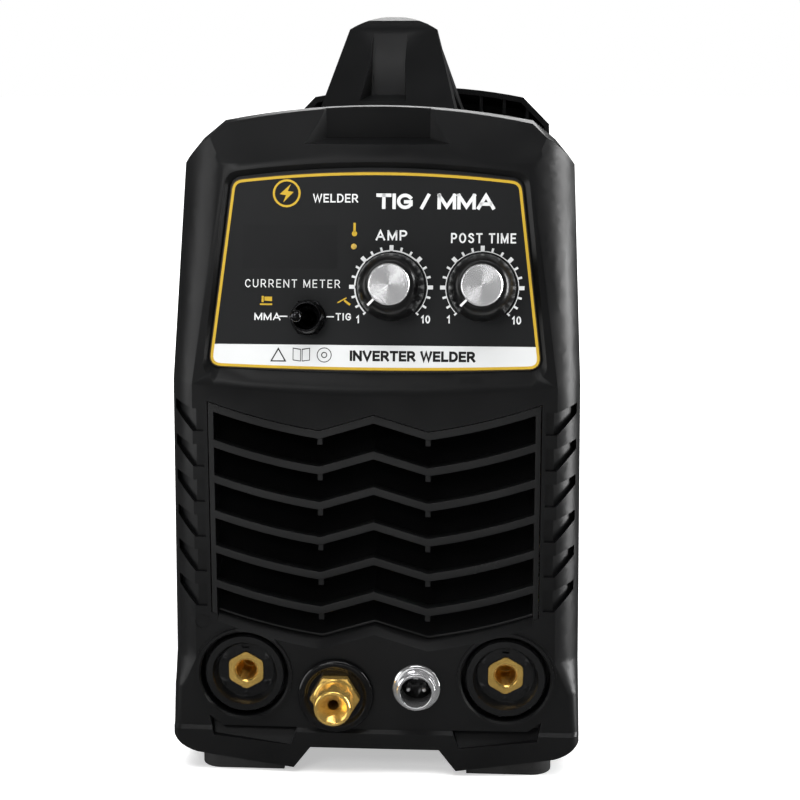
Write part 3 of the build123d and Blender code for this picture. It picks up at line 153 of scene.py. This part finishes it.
def make_light():
    """A wide sun overhead that gives no glints, and boxes for the highlights."""
    sun = bpy.data.lights.new("ceiling", "SUN")
    sun.energy = SUN_POWER
    sun.angle = SUN_SPREAD
    lamp = bpy.data.objects.new("ceiling", sun)
    lamp.visible_glossy = False
    bpy.context.scene.collection.objects.link(lamp)
    for row in LAMPS:
        area_light(*row)
    bpy.context.scene.view_settings.view_transform = "Standard"


def make_floor():
    """A large pale disc just below the feet."""
    mesh = bpy.data.meshes.new("floor")
    shape = bmesh.new()
    bmesh.ops.create_circle(shape, cap_ends=True, segments=96, radius=FLOOR_RADIUS)
    shape.to_mesh(mesh)
    shape.free()
    floor = bpy.data.objects.new("floor", mesh)
    floor.location.z = CAD_LOW.z - FLOOR_GAP
    floor.visible_glossy = False
    floor.visible_shadow = False
    bpy.context.scene.collection.objects.link(floor)
    paper = Surface("floor_paper", (0.93, 0.93, 0.93), 0.9, specular=0.0, emission=0.5)
    paper.vary_colour(3.0, 0.01)
    mesh.materials.append(paper.material)


# ---- materials -------------------------------------------------------------------------
class Surface:
    """A principled material whose colour, roughness and bump come from node patterns."""

    def __init__(self, name, colour, roughness, metal=0.0, specular=0.5,
                 anisotropic=0.0, emission=0.0):
        self.material = bpy.data.materials.new(name)
        self.material.use_nodes = True
        self.nodes = self.material.node_tree.nodes
        self.links = self.material.node_tree.links
        self.shader = self.nodes["Principled BSDF"]
        self.colour = (*colour, 1.0)
        self.roughness = roughness
        self.set("Base Color", self.colour)
        self.set("Roughness", roughness)
        self.set("Metallic", metal)
        self.set("Specular IOR Level", specular)
        self.set("Anisotropic", anisotropic)
        if emission:
            self.set("Emission Color", self.colour)
            self.set("Emission Strength", emission)
        self.place = self.nodes.new("ShaderNodeTexCoord").outputs["Object"]
        self.bump_output = None

    def set(self, socket, value):
        self.shader.inputs[socket].default_value = value

    def node(self, kind, **inputs):
        made = self.nodes.new(kind)
        for key, value in inputs.items():
            socket = made.inputs[key.replace("_", " ")]
            if hasattr(value, "is_output"):
                self.links.new(value, socket)
            else:
                socket.default_value = value
        return made

    def noise(self, scale, detail=4.0, rough=0.55, stretch=None):
        place = self.place
        if stretch:
            mapping = self.nodes.new("ShaderNodeMapping")
            mapping.inputs["Scale"].default_value = stretch
            self.links.new(place, mapping.inputs["Vector"])
            place = mapping.outputs["Vector"]
        return self.node("ShaderNodeTexNoise", Vector=place, Scale=scale, Detail=detail,
                         Roughness=rough).outputs["Fac"]

    def spread(self, value, low, high, start=0.3, end=0.7):
        """Maps a pattern value to a range."""
        made = self.node("ShaderNodeMapRange", Value=value)
        made.inputs["From Min"].default_value = start
        made.inputs["From Max"].default_value = end
        made.inputs["To Min"].default_value = low
        made.inputs["To Max"].default_value = high
        return made.outputs["Result"]

    def tint(self, factor, colour):
        """Mixes another colour over the base colour by a factor."""
        mix = self.nodes.new("ShaderNodeMix")
        mix.data_type = "RGBA"
        self.links.new(factor, mix.inputs["Factor"])
        base = self.shader.inputs["Base Color"]
        if base.is_linked:
            self.links.new(base.links[0].from_socket, mix.inputs["A"])
        else:
            mix.inputs["A"].default_value = base.default_value
        mix.inputs["B"].default_value = (*colour, 1.0)
        self.links.new(mix.outputs["Result"], base)

    def vary_colour(self, scale, amount):
        """Uneven tone: lighter patches of the same colour."""
        lighter = tuple(min(1.0, c * (1 + amount * 4) + amount * 0.02)
                        for c in self.colour[:3])
        self.tint(self.spread(self.noise(scale), 0.0, 1.0), lighter)
        return self

    def vary_roughness(self, scale, amount):
        """Uneven gloss, to either side of the base roughness."""
        value = self.spread(self.noise(scale, 6.0),
                            self.roughness - amount, self.roughness + amount)
        self.links.new(value, self.shader.inputs["Roughness"])
        return self

    def bump(self, height, strength, distance):
        made = self.node("ShaderNodeBump", Height=height, Strength=strength, Distance=distance)
        if self.bump_output:
            self.links.new(self.bump_output, made.inputs["Normal"])
        self.bump_output = made.outputs["Normal"]
        self.links.new(self.bump_output, self.shader.inputs["Normal"])
        return self

    def grain(self, scale, strength, distance, stretch=None):
        return self.bump(self.noise(scale, 3.0, stretch=stretch), strength, distance)

    def scuffs(self, scale, amount, colour):
        """Thin, sparse rub marks."""
        marks = self.noise(scale, 8.0, 0.7, stretch=(1.0, 0.35, 3.0))
        self.tint(self.spread(marks, 0.0, amount, 0.66, 0.8), colour)
        return self


BLACK = (0.0030, 0.0031, 0.0033)


def moulded(name, colour, roughness, specular):
    """Satin injection moulding: fine eggshell grain, uneven gloss, faint rub marks."""
    made = Surface(name, colour, roughness, specular=specular)
    made.vary_colour(14.0, 0.10).vary_roughness(35.0, 0.05)
    made.grain(2600.0, 0.10, 0.00006).scuffs(60.0, 0.22, (0.05, 0.05, 0.05))
    return made


def turned(name, colour, roughness, metal=1.0):
    """Machined metal: fine tool lines, tarnish in patches."""
    made = Surface(name, colour, roughness, metal=metal)
    made.vary_roughness(160.0, 0.06)
    tarnish = tuple(c * 0.62 for c in colour)
    made.tint(made.spread(made.noise(90.0), 0.0, 0.35, 0.45, 0.8), tarnish)
    made.grain(3000.0, 0.05, 0.00005, stretch=(1.0, 6.0, 1.0))
    return made


MOULDED = {      # colour, roughness, specular
    "bezel_plastic": (BLACK, 0.34, 0.25),
    "socket_plastic": (BLACK, 0.2, 0.5),
    "component_plastic": ((0.012, 0.012, 0.013), 0.5, 0.25),
    "breaker_grey": ((0.42, 0.43, 0.44), 0.45, 0.5),
    "potting": ((0.02, 0.02, 0.024), 0.6, 0.25),
}
TURNED = {       # colour, roughness, metallic
    "black_metal": ((0.03, 0.03, 0.032), 0.25, 1.0),
    "toggle_metal": ((0.06, 0.06, 0.063), 0.2, 1.0),
    "plated_steel": ((0.58, 0.59, 0.6), 0.28, 1.0),
    "bare_aluminium": ((0.62, 0.63, 0.64), 0.34, 1.0),
    "brass": ((0.95, 0.62, 0.17), 0.2, 0.84),
    "copper_wire": ((0.62, 0.25, 0.11), 0.3, 1.0),
    "chrome_plate": ((0.8, 0.8, 0.81), 0.13, 0.86),
}
PLAIN = {        # colour, roughness, specular, tone, gloss, grain
    "knob_plastic": ((0.003, 0.003, 0.0032), 0.3, 0.5,
                     (200.0, 0.05), (120.0, 0.03), (2200.0, 0.05, 0.00003)),
    "gloss_black": ((0.003, 0.003, 0.0032), 0.1, 0.5,
                    (150.0, 0.05), (90.0, 0.03), (60.0, 0.05, 0.0003)),
    "faceplate_print": ((0.0085, 0.009, 0.0095), 0.42, 0.25,
                        (9.0, 0.05), (40.0, 0.03), (5200.0, 0.12, 0.00004)),
    "display_glass": ((0.0070, 0.0074, 0.0079), 0.36, 0.25,
                      (60.0, 0.03), (30.0, 0.02), None),
    "lamp_lens": ((0.5, 0.33, 0.06), 0.25, 0.5, (400.0, 0.1), (200.0, 0.05), None),
    "powder_coat": ((0.008, 0.008, 0.0085), 0.45, 0.35,
                    (20.0, 0.08), (60.0, 0.05), (1500.0, 0.35, 0.00012)),
    "foot_rubber": ((0.012, 0.012, 0.012), 0.7, 0.25,
                    (60.0, 0.2), (90.0, 0.08), (1800.0, 0.4, 0.0002)),
    "hose_rubber": ((0.012, 0.016, 0.03), 0.5, 0.5,
                    (300.0, 0.2), (200.0, 0.1), (2400.0, 0.4, 0.0003)),
    "circuit_board": ((0.012, 0.09, 0.04), 0.3, 0.5,
                      (500.0, 0.2), (300.0, 0.08), (900.0, 0.2, 0.0002)),
    "capacitor_sleeve": ((0.015, 0.022, 0.09), 0.25, 0.5,
                         (80.0, 0.1), (60.0, 0.05), (500.0, 0.1, 0.0002)),
    "ferrite": ((0.03, 0.03, 0.033), 0.65, 0.5,
                (200.0, 0.3), (90.0, 0.1), (900.0, 0.5, 0.0003)),
}
PAINTS = {       # the same columns, for print and paint
    "print_white": ((0.72, 0.73, 0.73), 0.45, 0.3, (90.0, 0.02), (100.0, 0.04), None),
    "print_silver": ((0.62, 0.63, 0.63), 0.42, 0.4, (20.0, 0.03), (60.0, 0.04), None),
    "print_gold": ((0.50, 0.325, 0.028), 0.4, 0.3, (120.0, 0.03), (80.0, 0.05), None),
    "print_black": ((0.006, 0.006, 0.006), 0.45, 0.3, (90.0, 0.05), (90.0, 0.04), None),
    # painted reflection: this dim gold stands in for the glint on the glossy edge of the label recess
    "print_painted_reflection_gold": ((0.05, 0.032, 0.01), 0.3, 0.4, (60.0, 0.05), (50.0, 0.05), None),
    "pointer_white": ((0.8, 0.8, 0.8), 0.4, 0.5, (200.0, 0.03), (200.0, 0.05), None),
}


def plain(name, colour, roughness, specular, tone, gloss, grain):
    """Uneven tone and gloss, each as scale and amount, and a bump grain if it has one."""
    made = Surface(name, colour, roughness, specular=specular)
    made.vary_colour(*tone).vary_roughness(*gloss)
    if grain:
        made.grain(*grain)
    return made


def make_surfaces():
    surfaces = {name: moulded(name, *row) for name, row in MOULDED.items()}
    surfaces.update((name, turned(name, *row)) for name, row in TURNED.items())
    surfaces.update((name, plain(name, *row)) for name, row in PLAIN.items())
    surfaces["powder_coat"].scuffs(40.0, 0.25, (0.06, 0.06, 0.06))
    return surfaces


def paint(name):
    return plain(name, *PAINTS[name]).material


CAP_RINGS = 16000.0     # fine rings of a spun cap, radians for each metre of radius


def radial_sheen(surface, spot, axis, turns):
    """Grain that runs round an axis: the shader's tangent, and fine rings in the bump."""
    offset = surface.node("ShaderNodeVectorMath")
    offset.operation = "SUBTRACT"
    surface.links.new(surface.place, offset.inputs[0])
    offset.inputs[1].default_value = spot
    around = surface.node("ShaderNodeVectorMath")
    around.operation = "CROSS_PRODUCT"
    surface.links.new(offset.outputs["Vector"], around.inputs[0])
    around.inputs[1].default_value = axis
    unit = surface.node("ShaderNodeVectorMath")
    unit.operation = "NORMALIZE"
    surface.links.new(around.outputs["Vector"], unit.inputs[0])
    surface.links.new(unit.outputs["Vector"], surface.shader.inputs["Tangent"])
    length = surface.node("ShaderNodeVectorMath")
    length.operation = "LENGTH"
    surface.links.new(around.outputs["Vector"], length.inputs[0])
    rings = surface.node("ShaderNodeMath")
    rings.operation = "SINE"
    scaled = surface.node("ShaderNodeMath")
    scaled.operation = "MULTIPLY"
    surface.links.new(length.outputs["Value"], scaled.inputs[0])
    scaled.inputs[1].default_value = turns
    surface.links.new(scaled.outputs["Value"], rings.inputs[0])
    surface.bump(rings.outputs["Value"], 0.12, 0.00003)


def spun_cap(name, spot):
    made = Surface(name, (0.86, 0.86, 0.87), 0.24, metal=0.78, anisotropic=0.95)
    made.vary_colour(300.0, 0.02)
    radial_sheen(made, spot, OUT, CAP_RINGS)
    return made


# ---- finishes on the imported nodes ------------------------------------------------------
EDGE = {     # rounding of a node's edges, millimetres
    "front_bezel": 0.6, "rear_bezel": 0.6, "handle": 0.7, "louvre_grille": 0.4,
    "control_faceplate": 0.12, "rubber_feet": 0.8, "case_cover": 0.15, "base_chassis": 0.15,
    "socket_insulator_left": 0.35, "socket_insulator_right": 0.35,
    "gas_connector_washer": 0.35, "control_socket_shell": 0.2,
    "gas_connector": 0.3, "socket_contact_left": 0.3, "socket_contact_right": 0.3,
    "socket_key_pins": 0.35, "breaker_body": 0.4, "breaker_lever": 0.5, "cable_gland": 0.4,
    "amp_knob": 0.4, "post_time_knob": 0.4, "amp_knob_cap": 0.15, "post_time_knob_cap": 0.15,
}


WELD_REACH = 0.00001
BEVEL_ANGLE = math.radians(28)
SMOOTH_WEIGHT = 60


def dress_node(name, material, width):
    """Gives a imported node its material, smooth faces and slightly rounded edges."""
    piece = NODES[name]
    piece.data.materials.clear()
    piece.data.materials.append(material)
    for face in piece.data.polygons:
        face.use_smooth = True
    weld = piece.modifiers.new("weld", "WELD")
    weld.merge_threshold = WELD_REACH
    if width > 0:
        bevel = piece.modifiers.new("round_edges", "BEVEL")
        bevel.width = width * MM
        bevel.segments = 2
        bevel.limit_method = "ANGLE"
        bevel.angle_limit = BEVEL_ANGLE
        bevel.use_clamp_overlap = True
        bevel.harden_normals = False
    smooth = piece.modifiers.new("weighted", "WEIGHTED_NORMAL")
    smooth.keep_sharp = False
    smooth.weight = SMOOTH_WEIGHT


def dress_nodes(surfaces):
    slots = {row["node"]: row["material_slot"] for row in frame["record"]["subparts"]}
    for name in NODES:
        slot = slots[name]
        if slot == "spun_aluminium":
            spot = AMP_DIAL if name.startswith("amp") else POST_DIAL
            material = spun_cap(name, spot).material
        elif name == "louvre_grille":
            material = moulded("grille_plastic", BLACK, 0.32, 0.45).material
        else:
            material = surfaces[slot].material
        dress_node(name, material, EDGE.get(name, 0.0))


# ---- making pieces ---------------------------------------------------------------------
def add_piece(name, mesh, matrix, material, body):
    mesh.transform(matrix)
    for face in mesh.polygons:
        face.use_smooth = False
    mesh.materials.clear()
    mesh.materials.append(material)
    piece = bpy.data.objects.new(name, mesh)
    bpy.context.scene.collection.objects.link(piece)
    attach(piece, body)


def prism(shape, outline, low, high):
    """Adds a flat shape with a thickness to a bmesh; outline is a list of (x, y)."""
    lower = [shape.verts.new((x, y, low)) for x, y in outline]
    upper = [shape.verts.new((x, y, high)) for x, y in outline]
    shape.faces.new(upper)
    shape.faces.new(list(reversed(lower)))
    count = len(outline)
    for i in range(count):
        j = (i + 1) % count
        shape.faces.new((lower[i], lower[j], upper[j], upper[i]))


def band(shape, outer, inner, low, high):
    """Adds a closed strip between two outlines with the same number of points."""
    rings = [[shape.verts.new((x, y, z)) for x, y in outline]
             for outline, z in ((outer, low), (outer, high), (inner, high), (inner, low))]
    count = len(outer)
    for a, b in zip(rings, rings[1:] + rings[:1]):
        for i in range(count):
            j = (i + 1) % count
            shape.faces.new((a[i], a[j], b[j], b[i]))


def mesh_of(name, shape):
    bmesh.ops.recalc_face_normals(shape, faces=shape.faces)
    mesh = bpy.data.meshes.new(name)
    shape.to_mesh(mesh)
    shape.free()
    return mesh


def arc_points(radius, start, end, steps, centre_xy=(0.0, 0.0)):
    """Points on an arc, angles in degrees clockwise from straight up."""
    points = []
    for i in range(steps + 1):
        angle = math.radians(start + (end - start) * i / steps)
        points.append((centre_xy[0] + radius * math.sin(angle),
                       centre_xy[1] + radius * math.cos(angle)))
    return points


PRINT = 0.03      # thickness of the ink, millimetres


def ink(name, outlines, material, thick=PRINT):
    """Flat printed shapes on the label; outlines in panel millimetres."""
    shape = bmesh.new()
    for outline in outlines:
        prism(shape, [(x * MM, y * MM) for x, y in outline], 0.0, thick * MM)
    mesh = mesh_of(name, shape)
    add_piece(name, mesh, panel_matrix(0, 0, PLATE_OUT), material, "housing")


def ink_bands(name, pairs, material, base=PLATE_OUT):
    """Printed outlines, each between an outer and an inner line."""
    shape = bmesh.new()
    for outer, inner in pairs:
        band(shape, [(x * MM, y * MM) for x, y in outer],
             [(x * MM, y * MM) for x, y in inner], 0.0, PRINT * MM)
    mesh = mesh_of(name, shape)
    add_piece(name, mesh, panel_matrix(0, 0, base), material, "housing")


def curve_through(middle_x, middle_y, wide, tall, start, end, steps=10):
    """Points on an oval, angles in degrees clockwise from straight up."""
    return [(middle_x + wide * x, middle_y + tall * y)
            for x, y in arc_points(1.0, start, end, steps)]


BOWL = ([(0, 0), (0, 1), (0.34, 1)]
        + curve_through(0.34, 0.725, 0.28, 0.275, 10, 170) + [(0, 0.45)])
RIGHT_HOOK = curve_through(0.37, 0.5, 0.37, 0.5, 52, -232, 18)
S_SHAPE = (curve_through(0.31, 0.745, 0.29, 0.255, 65, -90, 8)
           + curve_through(0.31, 0.26, 0.31, 0.26, 0, 180, 9)[1:]
           + curve_through(0.31, 0.26, 0.31, 0.26, 190, 250, 4))
GLYPHS = {     # advance width, then the strokes, for a capital one unit high
    "A": (0.82, [[(0, 0), (0.41, 1), (0.82, 0)], [(0.15, 0.31), (0.67, 0.31)]]),
    "C": (0.66, [RIGHT_HOOK]),
    "D": (0.70, [[(0.3, 0), (0, 0), (0, 1), (0.3, 1)]
                 + curve_through(0.3, 0.5, 0.4, 0.5, 10, 180)]),
    "E": (0.56, [[(0.56, 1), (0, 1), (0, 0), (0.56, 0)], [(0, 0.51), (0.5, 0.51)]]),
    "G": (0.72, [RIGHT_HOOK + [(0.70, 0.22), (0.70, 0.46), (0.40, 0.46)]]),
    "I": (0.0, [[(0, 0), (0, 1)]]),
    "L": (0.54, [[(0, 1), (0, 0), (0.54, 0)]]),
    "M": (0.86, [[(0, 0), (0, 1)], [(0, 1), (0.43, 0.08), (0.86, 1)], [(0.86, 1), (0.86, 0)]]),
    "N": (0.72, [[(0, 0), (0, 1)], [(0, 1), (0.72, 0)], [(0.72, 0), (0.72, 1)]]),
    "O": (0.78, [curve_through(0.39, 0.5, 0.39, 0.5, 0, 360, 26)]),
    "P": (0.62, [BOWL]),
    "R": (0.66, [BOWL, [(0.32, 0.45), (0.66, 0)]]),
    "S": (0.62, [S_SHAPE]),
    "T": (0.66, [[(0, 1), (0.66, 1)], [(0.33, 1), (0.33, 0)]]),
    "U": (0.68, [[(0, 1), (0, 0.34)] + curve_through(0.34, 0.34, 0.34, 0.34, -100, -260, 10)
                 + [(0.68, 0.34), (0.68, 1)]]),
    "V": (0.76, [[(0, 1), (0.38, 0), (0.76, 1)]]),
    "W": (1.06, [[(0, 1), (0.26, 0), (0.53, 0.94), (0.80, 0), (1.06, 1)]]),
    "/": (0.36, [[(0, 0), (0.36, 1)]]),
    "0": (0.56, [curve_through(0.28, 0.5, 0.28, 0.5, 0, 360, 22)]),
    "1": (0.22, [[(0, 0.76), (0.22, 1), (0.22, 0)]]),
    " ": (0.10, []),
}


MITRE_LIMIT = 0.45      # keeps a sharp bend's mitre short


def ribbon(points, weight):
    """Outline of a stroke along a line of points, mitred at its bends, square at its ends."""
    left, right = [], []
    points = [Vector(point) for point in points]
    first = (points[0] - points[1]).normalized() * (weight / 2)
    last = (points[-1] - points[-2]).normalized() * (weight / 2)
    points = [points[0] + first] + points[1:-1] + [points[-1] + last]
    for i, point in enumerate(points):
        ahead = (points[i + 1] - point) if i + 1 < len(points) else point - points[i - 1]
        back = (point - points[i - 1]) if i else ahead
        ahead = ahead.normalized()
        back = back.normalized()
        along = (ahead + back).normalized()
        side = Vector((-along.y, along.x))
        reach = weight / 2 / max(MITRE_LIMIT, side.dot(Vector((-ahead.y, ahead.x))))
        left.append(tuple(point + side * reach))
        right.append(tuple(point - side * reach))
    return left + right[::-1]


def lettering(name, words, x, up, width, height, weight, gap, material):
    """Words centred on a panel point; weight and gap are parts of the height."""
    stroke = height * weight
    tall = height - stroke
    gaps = (len(words) - 1) * (gap * height + stroke)
    wide = (width - stroke - gaps) / sum(GLYPHS[letter][0] for letter in words)
    outlines = []
    pen = x - width / 2 + stroke / 2
    for letter in words:
        advance, lines = GLYPHS[letter]
        for line in lines:
            placed = [(pen + px * wide, up - tall / 2 + py * tall) for px, py in line]
            outlines.append(ribbon(placed, stroke))
        pen += advance * wide + gap * height + stroke
    ink(name, outlines, material)


# ---- the printed label -----------------------------------------------------------------
def label_outline(top_half, top_corner, top_mid, low_half, low_corner, low_mid, radius, steps=6):
    """Arched trapezium with rounded corners, clockwise from the top left."""
    def arch(half, corner, mid, ends):
        return [(x, mid + (corner - mid) * (x / half) ** 2) for x in ends]

    top = arch(top_half, top_corner, top_mid, [top_half * i / 10 for i in range(-10, 11)])
    low = arch(low_half, low_corner, low_mid, [low_half * i / 10 for i in range(10, -11, -1)])
    corners = top + low
    rounded = []
    count = len(corners)
    for i, point in enumerate(corners):
        before = Vector(corners[i - 1])
        here = Vector(point)
        after = Vector(corners[(i + 1) % count])
        back = before - here
        ahead = after - here
        turn = abs(back.angle(ahead))
        if turn > math.radians(150):
            rounded.append(point)
            continue
        reach = radius / math.tan(turn / 2)
        start = here + back.normalized() * reach
        end = here + ahead.normalized() * reach
        for k in range(steps + 1):
            t = k / steps
            spot = start * (1 - t) ** 2 + here * (2 * t * (1 - t)) + end * t ** 2
            rounded.append((spot.x, spot.y))
    return rounded


def clean_outline(outline, gap=0.25):
    """Drops points that a rounded corner has overrun."""
    kept = []
    for point in outline:
        if not kept or (Vector(point) - Vector(kept[-1])).length > gap:
            kept.append(point)
    return kept


def shrink(outline, amount):
    """Moves a closed outline inwards by an amount."""
    count = len(outline)
    moved = []
    for i in range(count):
        before = Vector(outline[i - 1])
        here = Vector(outline[i])
        after = Vector(outline[(i + 1) % count])
        along = (after - before).normalized()
        inward = Vector((along.y, -along.x))
        moved.append(tuple(here + inward * amount))
    return moved


SCALE_RADIUS = 15.5
SCALE_SWEEP = 135       # the scale runs this many degrees to each side of the top
ARC_STEP, ARC_GAP = 45, 2.2
LONG_TICK = (15.4, 17.9, 0.85)      # inner radius, outer radius, half width
SHORT_TICK = (15.7, 17.4, 0.48)
END_TICK = (15.2, 16.6, 0.4)


def tick(spot, angle, inner, outer, half):
    """A short bar that points away from a dial's middle."""
    turn = math.radians(angle)
    along = Vector((math.sin(turn), math.cos(turn)))
    side = Vector((along.y, -along.x))
    middle = Vector(spot)
    return [tuple(middle + along * r + side * s) for r, s in
            ((inner, -half), (outer, -half), (outer, half), (inner, half))]


def dial_marks(x, thick_arc):
    """Scale round a dial: arc, short ticks each 15 degrees, long ones each 45."""
    outlines = []
    spot = (x, DIAL_UP)
    bold, fine = (0.62, 0.3) if thick_arc else (0.34, 0.34)
    for start, end, width in ((-SCALE_SWEEP, 45, bold), (45, SCALE_SWEEP, fine)):
        for angle in range(start, end, ARC_STEP):
            span = (angle + ARC_GAP, angle + ARC_STEP - ARC_GAP, 10, spot)
            outer = arc_points(SCALE_RADIUS + width / 2, *span)
            inner = arc_points(SCALE_RADIUS - width / 2, *span)
            outlines.append(outer + list(reversed(inner)))
    for angle in range(-120, 121, 15):
        outlines.append(tick(spot, angle, *(LONG_TICK if angle % 45 == 0 else SHORT_TICK)))
    for angle in (-SCALE_SWEEP, SCALE_SWEEP):
        outlines.append(tick(spot, angle, *END_TICK))
    return outlines


TOP_HALF, TOP_CORNER, TOP_MID = 61.5, 87.4, 91.2      # the border's arched top
LOW_HALF, LOW_CORNER, LOW_MID = 70.8, 8.2, 6.8        # and its foot
BORDER_ROUND = 4.8
BORDER_WIDTH = 1.15
# width of the dim gold band outside the gold line, a painted reflection of the recess edge, millimetres
REFLECTION_BAND_WIDTH = 0.4
STRIP_TOP, STRIP_FOOT = 17.4, 8.1

WORDS = (    # name, text, x, up, width, height, weight, gap
    ("text_amp", "AMP", 6.7, 64.4, 13.4, 4.4, 0.17, 0.22),
    ("text_post_time", "POST TIME", 45.9, 63.4, 27.6, 4.3, 0.16, 0.20),
    ("text_current_meter", "CURRENT METER", -35.4, 43.5, 40.8, 3.5, 0.11, 0.30),
    ("text_mma", "MMA", -46.0, 29.3, 11.2, 3.1, 0.17, 0.20),
    ("text_tig", "TIG", -13.4, 29.5, 6.6, 3.1, 0.17, 0.22),
    ("text_amp_low", "1", -7.3, 28.5, 1.2, 3.4, 0.17, 0.2),
    ("text_amp_high", "10", 21.7, 28.7, 3.9, 3.4, 0.17, 0.2),
    ("text_post_low", "1", 31.4, 28.8, 1.2, 3.4, 0.17, 0.2),
    ("text_post_high", "10", 60.3, 28.6, 3.9, 3.4, 0.17, 0.2),
    ("text_machine", "WELDER", -17.4, 80.1, 19.4, 3.7, 0.16, 0.16),
    ("text_kind", "TIG / MMA", 25.3, 78.9, 50.5, 6.6, 0.22, 0.07),
)
FOOT_WORDS = ("text_foot", "INVERTER WELDER", 16.3, 12.9, 53.5, 4.5, 0.24, 0.06)

METER_WINDOW = [(-57.0, 49.8), (-16.2, 49.8), (-16.2, 68.6), (-57.0, 68.6)]
TOGGLE_LINES = [[(-40.9, 29.2), (-37.4, 29.2), (-37.4, 29.7), (-40.9, 29.7)],
                [(-20.6, 29.2), (-17.4, 29.2), (-17.4, 29.7), (-20.6, 29.7)]]
CLAMP = [[(-49.3, 34.2), (-44.0, 34.2), (-44.0, 34.9), (-49.3, 34.9)],
         [(-48.6, 35.4), (-47.7, 35.4), (-47.7, 38.1), (-48.6, 38.1)],
         [(-47.4, 36.1), (-44.1, 35.9), (-44.1, 37.8), (-47.4, 37.8)]]
TORCH = [[(-15.9, 35.2), (-12.0, 37.4), (-12.3, 37.8), (-16.1, 35.7)],
         [(-13.4, 36.2), (-10.9, 34.2), (-10.3, 35.0), (-12.9, 36.8)]]
THERMOMETER = [arc_points(1.15, 0, 330, 11, (-9.1, 65.0)),
               [(-9.6, 65.6), (-8.6, 65.6), (-8.6, 69.6), (-9.6, 69.6)]]
EMBLEM_SPOT = (-38.4, 82.1)
FLASH = [(-39.9, 78.1), (-35.4, 82.7), (-38.0, 83.1),
         (-36.6, 86.1), (-41.4, 81.7), (-38.7, 81.3)]
TRIANGLE = ([(-44.6, 10.1), (-37.6, 10.1), (-41.1, 16.2)],
            [(-43.7, 10.6), (-38.5, 10.6), (-41.1, 15.1)])
TARGET_SPOT = (-21.4, 13.1)
BOOK_X = -31.2


def ring(outer, inner, spot):
    """Outer and inner outline of a printed ring."""
    return tuple(arc_points(radius, 0, 345, 23, spot) for radius in (outer, inner))


def book_page(side):
    """Outer and inner outline of one page of the open book."""
    outer = ((0.2, 10.2), (3.7, 10.7), (3.7, 16.1), (0.2, 15.6))
    inner = ((0.5, 10.6), (3.4, 11.0), (3.4, 15.7), (0.5, 15.2))
    return tuple([(BOOK_X + side * x, y) for x, y in outline] for outline in (outer, inner))


def make_border(gold, painted_reflection_gold, silver):
    """Gold line round the label, a dim gold band just outside it that is a painted reflection of the recess
    edge, and the pale strip across the foot.
    """
    border = clean_outline(label_outline(TOP_HALF, TOP_CORNER, TOP_MID,
                                         LOW_HALF, LOW_CORNER, LOW_MID, BORDER_ROUND))
    line = shrink(border, BORDER_WIDTH)
    ink_bands("label_border_line", [(border, line)], gold)
    # painted reflection of the recess edge: a dim gold band just outside the gold line
    ink_bands("label_border_painted_reflection", [(shrink(border, -REFLECTION_BAND_WIDTH), border)], painted_reflection_gold)
    foot = [point for point in line if point[1] <= STRIP_TOP]
    foot.sort(key=lambda point: math.atan2(point[1] - STRIP_TOP, point[0]))
    half = (LOW_HALF - BORDER_WIDTH
            - (STRIP_TOP - STRIP_FOOT) * (LOW_HALF - TOP_HALF) / (TOP_CORNER - LOW_CORNER))
    ink("label_foot_strip", [[(-half, STRIP_TOP)] + foot + [(half, STRIP_TOP)]], silver,
        thick=PRINT * 0.8)


def make_symbols(white, gold, dark):
    """Plain symbols: process and temperature, the emblem, and three marks on the foot."""
    ink("toggle_lines", TOGGLE_LINES, white)
    ink("symbols_gold", CLAMP + TORCH + THERMOMETER, gold)
    ink_bands("emblem_ring", [ring(6.0, 5.1, EMBLEM_SPOT)], gold)
    ink("emblem_flash", [FLASH], gold)
    marks = [TRIANGLE, ring(3.2, 2.85, TARGET_SPOT), ring(1.3, 0.9, TARGET_SPOT)]
    ink_bands("foot_marks", marks + [book_page(-1), book_page(1)], dark,
              base=PLATE_OUT + PRINT)


def make_label(surfaces):
    white, silver, gold, dark, painted_reflection_gold = [
        paint("print_" + tone) for tone in ("white", "silver", "gold", "black", "painted_reflection_gold")]
    make_border(gold, painted_reflection_gold, silver)
    # dark window over the current meter
    ink("label_meter_window", [METER_WINDOW], surfaces["display_glass"].material,
        thick=PRINT * 0.5)
    ink("amp_scale", dial_marks(AMP_DIAL.x / MM, True), white)
    ink("post_scale", dial_marks(POST_DIAL.x / MM, False), white)
    for row in WORDS:
        lettering(*row, white)
    lettering(*FOOT_WORDS, dark)
    make_symbols(white, gold, dark)


# ---- dials -----------------------------------------------------------------------------
POINTER_START, POINTER_END = 8.9, 12.4        # radii on the knob
POINTER_HALF = 0.45
POINTER_LOW, POINTER_HIGH = 13.2, 14.4        # heights above the panel


def make_pointers():
    """White pointer line on each dial, at the start of the scale."""
    white = paint("pointer_white")
    for name, spot, body in (("amp_pointer", AMP_DIAL, "amp_dial"),
                             ("post_time_pointer", POST_DIAL, "post_time_dial")):
        shape = bmesh.new()
        half, start, end = (value * MM for value in (POINTER_HALF, POINTER_START, POINTER_END))
        prism(shape, [(-half, start), (half, start), (half, end), (-half, end)],
              POINTER_LOW * MM, POINTER_HIGH * MM)
        matrix = panel_matrix(spot.x / MM, DIAL_UP, 0.0, math.radians(SCALE_SWEEP))
        add_piece(name, mesh_of(name, shape), matrix, white, body)


def main():
    make_camera()
    make_world()
    make_light()
    make_floor()
    surfaces = make_surfaces()
    dress_nodes(surfaces)
    make_label(surfaces)
    make_pointers()


main()
